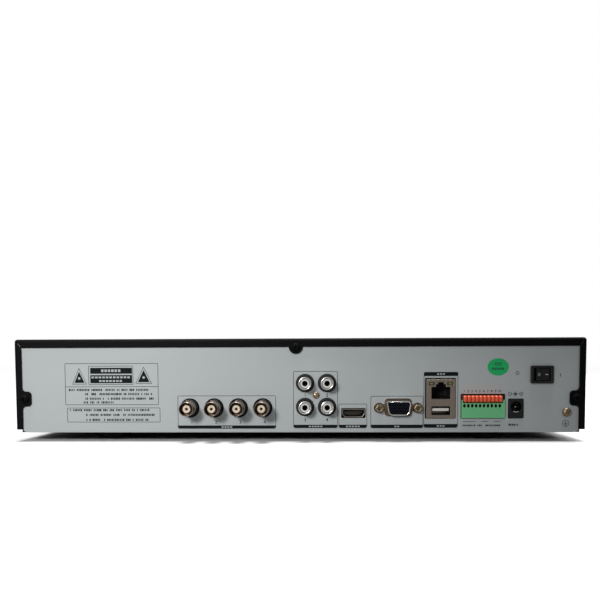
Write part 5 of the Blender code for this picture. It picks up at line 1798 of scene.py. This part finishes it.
    def _rows(self, name: str, rows: Sequence[TextRow], height: float) -> None:
        """Print rows of short dashes of uneven width with a geometry tree."""
        for index, row in enumerate(rows):
            left = panel_point(row.left, row.middle)
            pitch = self.letter_pitch
            count = int((row.right - row.left) / pitch)
            tree = GeometryTree(
                f"{name}_{index}_tree", Count=count, Seed=row.seed, Gap=self.dash_kept,
                Start=Vector((left[0] - pitch * MM / 2, PANEL_Y, left[1])), Pitch=Vector((-pitch * MM, 0, 0)),
                Size=Vector((pitch * MM * self.dash_share, 2 * self.ink, height * MM)),
                Least=Vector((0.55, 1, 0.8)), Most=Vector((1.05, 1, 1.0)),
            )
            line = tree.line("@Count", "@Start", "@Pitch")
            keep = tree.node("FunctionNodeRandomValue", {"data_type": "BOOLEAN"})
            tree.group.links.new(tree.given.outputs["Gap"], tree.socket(keep, "Probability"))
            tree.group.links.new(tree.given.outputs["Seed"], tree.socket(keep, "Seed"))
            wide = tree.node("FunctionNodeRandomValue", {"data_type": "FLOAT_VECTOR"})
            tree.group.links.new(tree.given.outputs["Least"], wide.inputs[0])
            tree.group.links.new(tree.given.outputs["Most"], wide.inputs[1])
            tree.group.links.new(tree.given.outputs["Seed"], tree.socket(wide, "Seed"))
            dash = tree.node("MeshCube", Size="@Size")
            placed = tree.placed(
                line, dash, Selection=tree.enabled_output(keep), Scale=tree.enabled_output(wide)
            )
            tree.realise(f"{name}_{index + 1}", placed, PANEL_INK, "grey_steel")

    def _digits(self) -> None:
        """Print plain numbers under the sockets and over the terminal."""
        for number, across in enumerate(self.camera_numbers, 1):
            place = (across + self.camera_number_shift, self.camera_number_level)
            self._digit(f"camera_number_{number}", str(number), place, self.digit_height)
        for number, place in enumerate(self.sound_numbers, 1):
            self._digit(f"sound_number_{number}", str(number), place, self.digit_height)
        for number in range(1, self.terminal_count + 1):
            place = (-middle_of(f"terminal_lever_{number}").x / MM, self.terminal_number_level)
            self._digit(f"terminal_number_{number}", str(number), place, self.small_digit_height)

    def _digit(self, name: str, text: str, place: Point2, height: float) -> None:
        """Print a number as a thin solid on the panel."""
        curve = bpy.data.curves.new(name, "FONT")
        curve.body = text
        curve.size = height * MM * self.digit_size
        curve.extrude = self.ink
        curve.offset = height * MM * self.boldness
        curve.align_x = "CENTER"
        curve.align_y = "CENTER"
        carrier = linked(f"{name}_carrier", curve)
        data = baked(carrier)
        x, z = panel_point(*place)
        facing = Matrix(((-1, 0, 0, x), (0, 0, 1, PANEL_Y), (0, 1, 0, z), (0, 0, 0, 1)))
        data.transform(facing)
        mesh = bmesh.new()
        mesh.from_mesh(data)
        bmesh.ops.remove_doubles(mesh, verts=mesh.verts, dist=self.digit_merge)
        bpy.data.meshes.remove(data)
        Workshop.finish(name, mesh, PANEL_INK, "grey_steel")

    def _sticker(self) -> None:
        """Stick on an oval inspection label with plain bars."""
        centre = self.sticker
        turns = [math.tau * index / self.sticker_sides for index in range(self.sticker_sides)]
        oval = [
            panel_point(centre[0] + self.sticker_half[0] * math.cos(turn),
                        centre[1] + self.sticker_half[1] * math.sin(turn))
            for turn in turns
        ]
        mesh = bmesh.new()
        add_prism(mesh, oval, PANEL_Y - self.sticker_back, PANEL_Y + self.sticker_face)
        Workshop.finish("inspection_sticker", mesh, STICKER_GREEN, "grey_steel", bevel=self.sticker_edge)
        mesh = bmesh.new()
        back, top = (PANEL_Y + height for height in self.sticker_ink)
        line = self.sticker_line
        for left, right, foot, high in self.sticker_boxes:
            inner = (left + line, right - line, foot + line, high - line)
            rings = [
                rounded_box((centre[0] + (a + b) / 2, centre[1] + (c + d) / 2), (b - a, d - c), 0.3, 3)
                for a, b, c, d in ((left, right, foot, high), inner)
            ]
            points = [[panel_point(*point) for point in ring] for ring in rings]
            add_frame(mesh, points[0], points[1], back, top)
        start, wide, foot, high = self.sticker_bar
        foot, high = centre[1] + foot, centre[1] + high
        for index in range(self.sticker_bars):
            left = centre[0] + start + index * self.sticker_bar_pitch
            outline = [(left, foot), (left + wide, foot), (left + wide, high), (left, high)]
            add_prism(mesh, [panel_point(*point) for point in outline], back, top)
        Workshop.finish("inspection_sticker_print", mesh, STICKER_DARK, "grey_steel")


# --------------------------------------------------------- front and the inside
@dataclass
class FrontSide:
    """Fascia, smoked window and keys."""

    edge: float = 0.3 * MM
    window_edge: float = 0.25 * MM
    key_edge: float = 0.35 * MM
    dot: float = 0.55 * MM
    dot_pitch: float = 2.2 * MM
    dot_sunk: float = 0.03 * MM
    dot_back: float = 0.3 * MM

    def build(self) -> None:
        """Soften the fascia, the window and the keys, then mark the keys."""
        Workshop.soften("front_fascia", BLACK_PLASTIC, "black_plastic", self.edge)
        Workshop.soften("front_window", SMOKED, "smoked_window", self.window_edge)
        for number in (1, 2, 3):
            node = f"front_button_{number}"
            Workshop.soften(node, KEY_PLASTIC, "button_plastic", self.key_edge, f"button_{number}")
            self._key_mark(number, middle_of(node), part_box(node)[0].y)

    def _key_mark(self, number: int, centre: Vector, face: float) -> None:
        """Print one, two or three dots on a key."""
        mesh = bmesh.new()
        for index in range(number):
            across = (index - (number - 1) / 2) * self.dot_pitch
            outline = circle((centre.x + across, centre.z), self.dot, 24)
            add_prism(mesh, outline, face - self.dot_sunk, face + self.dot_back)
        Workshop.finish(f"key_mark_{number}", mesh, PALE_INK, "button_plastic", f"button_{number}")


@dataclass
class Inside:
    """Finishes for the parts that the cover hides."""

    finishes: Sequence[tuple[str, Finish]] = (
        ("main_board", BOARD), ("front_board", BOARD), ("heat_sink", ANODISED), ("hard_drive", CAST_METAL),
        ("drive_cable", CABLE_RED), ("clock_battery", BRIGHT_PLATE),
    )

    def build(self) -> None:
        """Dress every hidden part."""
        for node, finish in self.finishes:
            Workshop.dress(node, finish)


# ----------------------------------------------------------------------- studio
@dataclass
class Studio:
    """Pale floor, soft lights and the camera."""

    floor_radius: float = 12.0
    floor_colour: float = 0.9
    floor_bounce: float = 0.2
    camera_place: Vector = field(default_factory=lambda: Vector((-0.0148, 0.587, 0.052)))
    lens: float = 41.1
    yaw: float = math.radians(1.67)
    pitch: float = math.radians(3.4)
    roll: float = math.radians(-0.2)
    shift: float = 0.172
    sky_seen: float = 1.0
    sky_light: float = 0.2
    sun_power: float = 3.1
    key_place: Vector = field(default_factory=lambda: Vector((0.3, 0.85, 0.3)))
    key_target: Vector = field(default_factory=lambda: Vector((0.19, 0.137, 0.035)))
    key_spread: float = math.radians(60)
    key_softness: float = 0.09
    key_power: float = 18.4
    fill_place: Vector = field(default_factory=lambda: Vector((-1.2, -1.5, 1.2)))
    fill_target: Vector = field(default_factory=lambda: Vector((0.0, 0.0, 0.03)))
    fill_size: Point2 = (1.8, 1.4)
    fill_power: float = 30.0
    sun_height: float = 3.0
    sun_angle: float = math.radians(20)
    floor_roughness: float = 0.7
    sensor: float = 36.0
    near: float = 0.01

    def build(self) -> None:
        """Build the floor, the lights and the camera."""
        bpy.context.scene.view_settings.view_transform = "Standard"
        self._floor()
        self._world()
        self._sun()
        self._key()
        self._fill()
        self._camera()

    def _floor(self) -> None:
        """Lay a round floor, pale to the eye and greyer in the light that it throws back."""
        mesh = bmesh.new()
        bmesh.ops.create_circle(mesh, cap_ends=True, segments=96, radius=self.floor_radius)
        data = bpy.data.meshes.new("floor")
        mesh.to_mesh(data)
        mesh.free()
        floor = linked("floor", data)
        look = bpy.data.materials.new("pale_floor")
        look.use_nodes = True
        tree = look.node_tree
        shader = tree.nodes["Principled BSDF"]
        shader.inputs["Roughness"].default_value = self.floor_roughness
        seen = tree.nodes.new("ShaderNodeLightPath")
        shade = tree.nodes.new("ShaderNodeMix")
        shade.data_type = "RGBA"
        tree.links.new(seen.outputs["Is Camera Ray"], shade.inputs["Factor"])
        colours = [socket for socket in shade.inputs if socket.type == "RGBA"]
        for socket, level in zip(colours, (self.floor_bounce, self.floor_colour)):
            socket.default_value = (level, level, level, 1)
        result = next(socket for socket in shade.outputs if socket.type == "RGBA")
        tree.links.new(result, shader.inputs["Base Color"])
        data.materials.append(look)

    def _world(self) -> None:
        """Give the world an even white, softer in its light than to the eye."""
        world = bpy.data.worlds.new("studio_world")
        bpy.context.scene.world = world
        world.use_nodes = True
        tree = world.node_tree
        sky = tree.nodes["Background"]
        sky.inputs["Color"].default_value = (1, 1, 1, 1)
        seen = tree.nodes.new("ShaderNodeLightPath")
        level = tree.nodes.new("ShaderNodeMapRange")
        level.inputs["To Min"].default_value = self.sky_light
        level.inputs["To Max"].default_value = self.sky_seen
        tree.links.new(seen.outputs["Is Camera Ray"], level.inputs["Value"])
        tree.links.new(level.outputs["Result"], sky.inputs["Strength"])

    def _sun(self) -> None:
        """Hang a broad overhead light that reaches all of the floor."""
        data = bpy.data.lights.new("overhead_light", "SUN")
        data.energy = self.sun_power
        data.angle = self.sun_angle
        light = linked("overhead_light", data)
        light.location = (0, 0, self.sun_height)

    def _key(self) -> None:
        """Hang a soft spot that lights one end of the connector panel more than the other."""
        data = bpy.data.lights.new("key_light", "SPOT")
        data.energy = self.key_power
        data.spot_size = self.key_spread
        data.spot_blend = 1.0
        data.shadow_soft_size = self.key_softness
        self._aim(data, self.key_place, self.key_target)

    def _fill(self) -> None:
        """Hang a soft light behind the fascia's side."""
        data = bpy.data.lights.new("fill_light", "AREA")
        data.shape = "RECTANGLE"
        data.size, data.size_y = self.fill_size
        data.energy = self.fill_power
        self._aim(data, self.fill_place, self.fill_target)

    @staticmethod
    def _aim(data: bpy.types.Light, place: Vector, target: Vector) -> None:
        """Hang a light that points at a target and isn't seen itself."""
        light = linked(data.name, data)
        light.visible_camera = False
        facing = (target - place).to_track_quat("-Z", "Y").to_matrix().to_4x4()
        light.matrix_world = Matrix.Translation(place) @ facing

    def _camera(self) -> None:
        """Stand the camera in front of the connector panel."""
        data = bpy.data.cameras.new("camera")
        data.lens = self.lens
        data.sensor_width = self.sensor
        data.shift_y = self.shift
        data.clip_start = self.near
        camera = linked("camera", data)
        ahead = Vector((math.sin(self.yaw), -math.cos(self.yaw), -math.tan(self.pitch)))
        facing = ahead.to_track_quat("-Z", "Y").to_matrix().to_4x4() @ Matrix.Rotation(self.roll, 4, "Z")
        camera.matrix_world = Matrix.Translation(self.camera_place) @ facing
        bpy.context.scene.camera = camera


def main() -> None:
    """Build every sub-assembly and report it."""
    logging.basicConfig(level=logging.INFO, format="%(name)s: %(message)s")
    Studio().build()
    parts = (
        Case(), Screws(), CameraSockets(), PhonoSockets(), HdSocket(), VideoSocket(), NetworkBlock(),
        Terminal(), PowerInlet(), PowerSwitch(), PanelPrint(), FrontSide(), Inside(),
    )
    for part in parts:
        LOG.info("building %s", type(part).__name__)
        part.build()


if __name__ == "__main__":
    main()
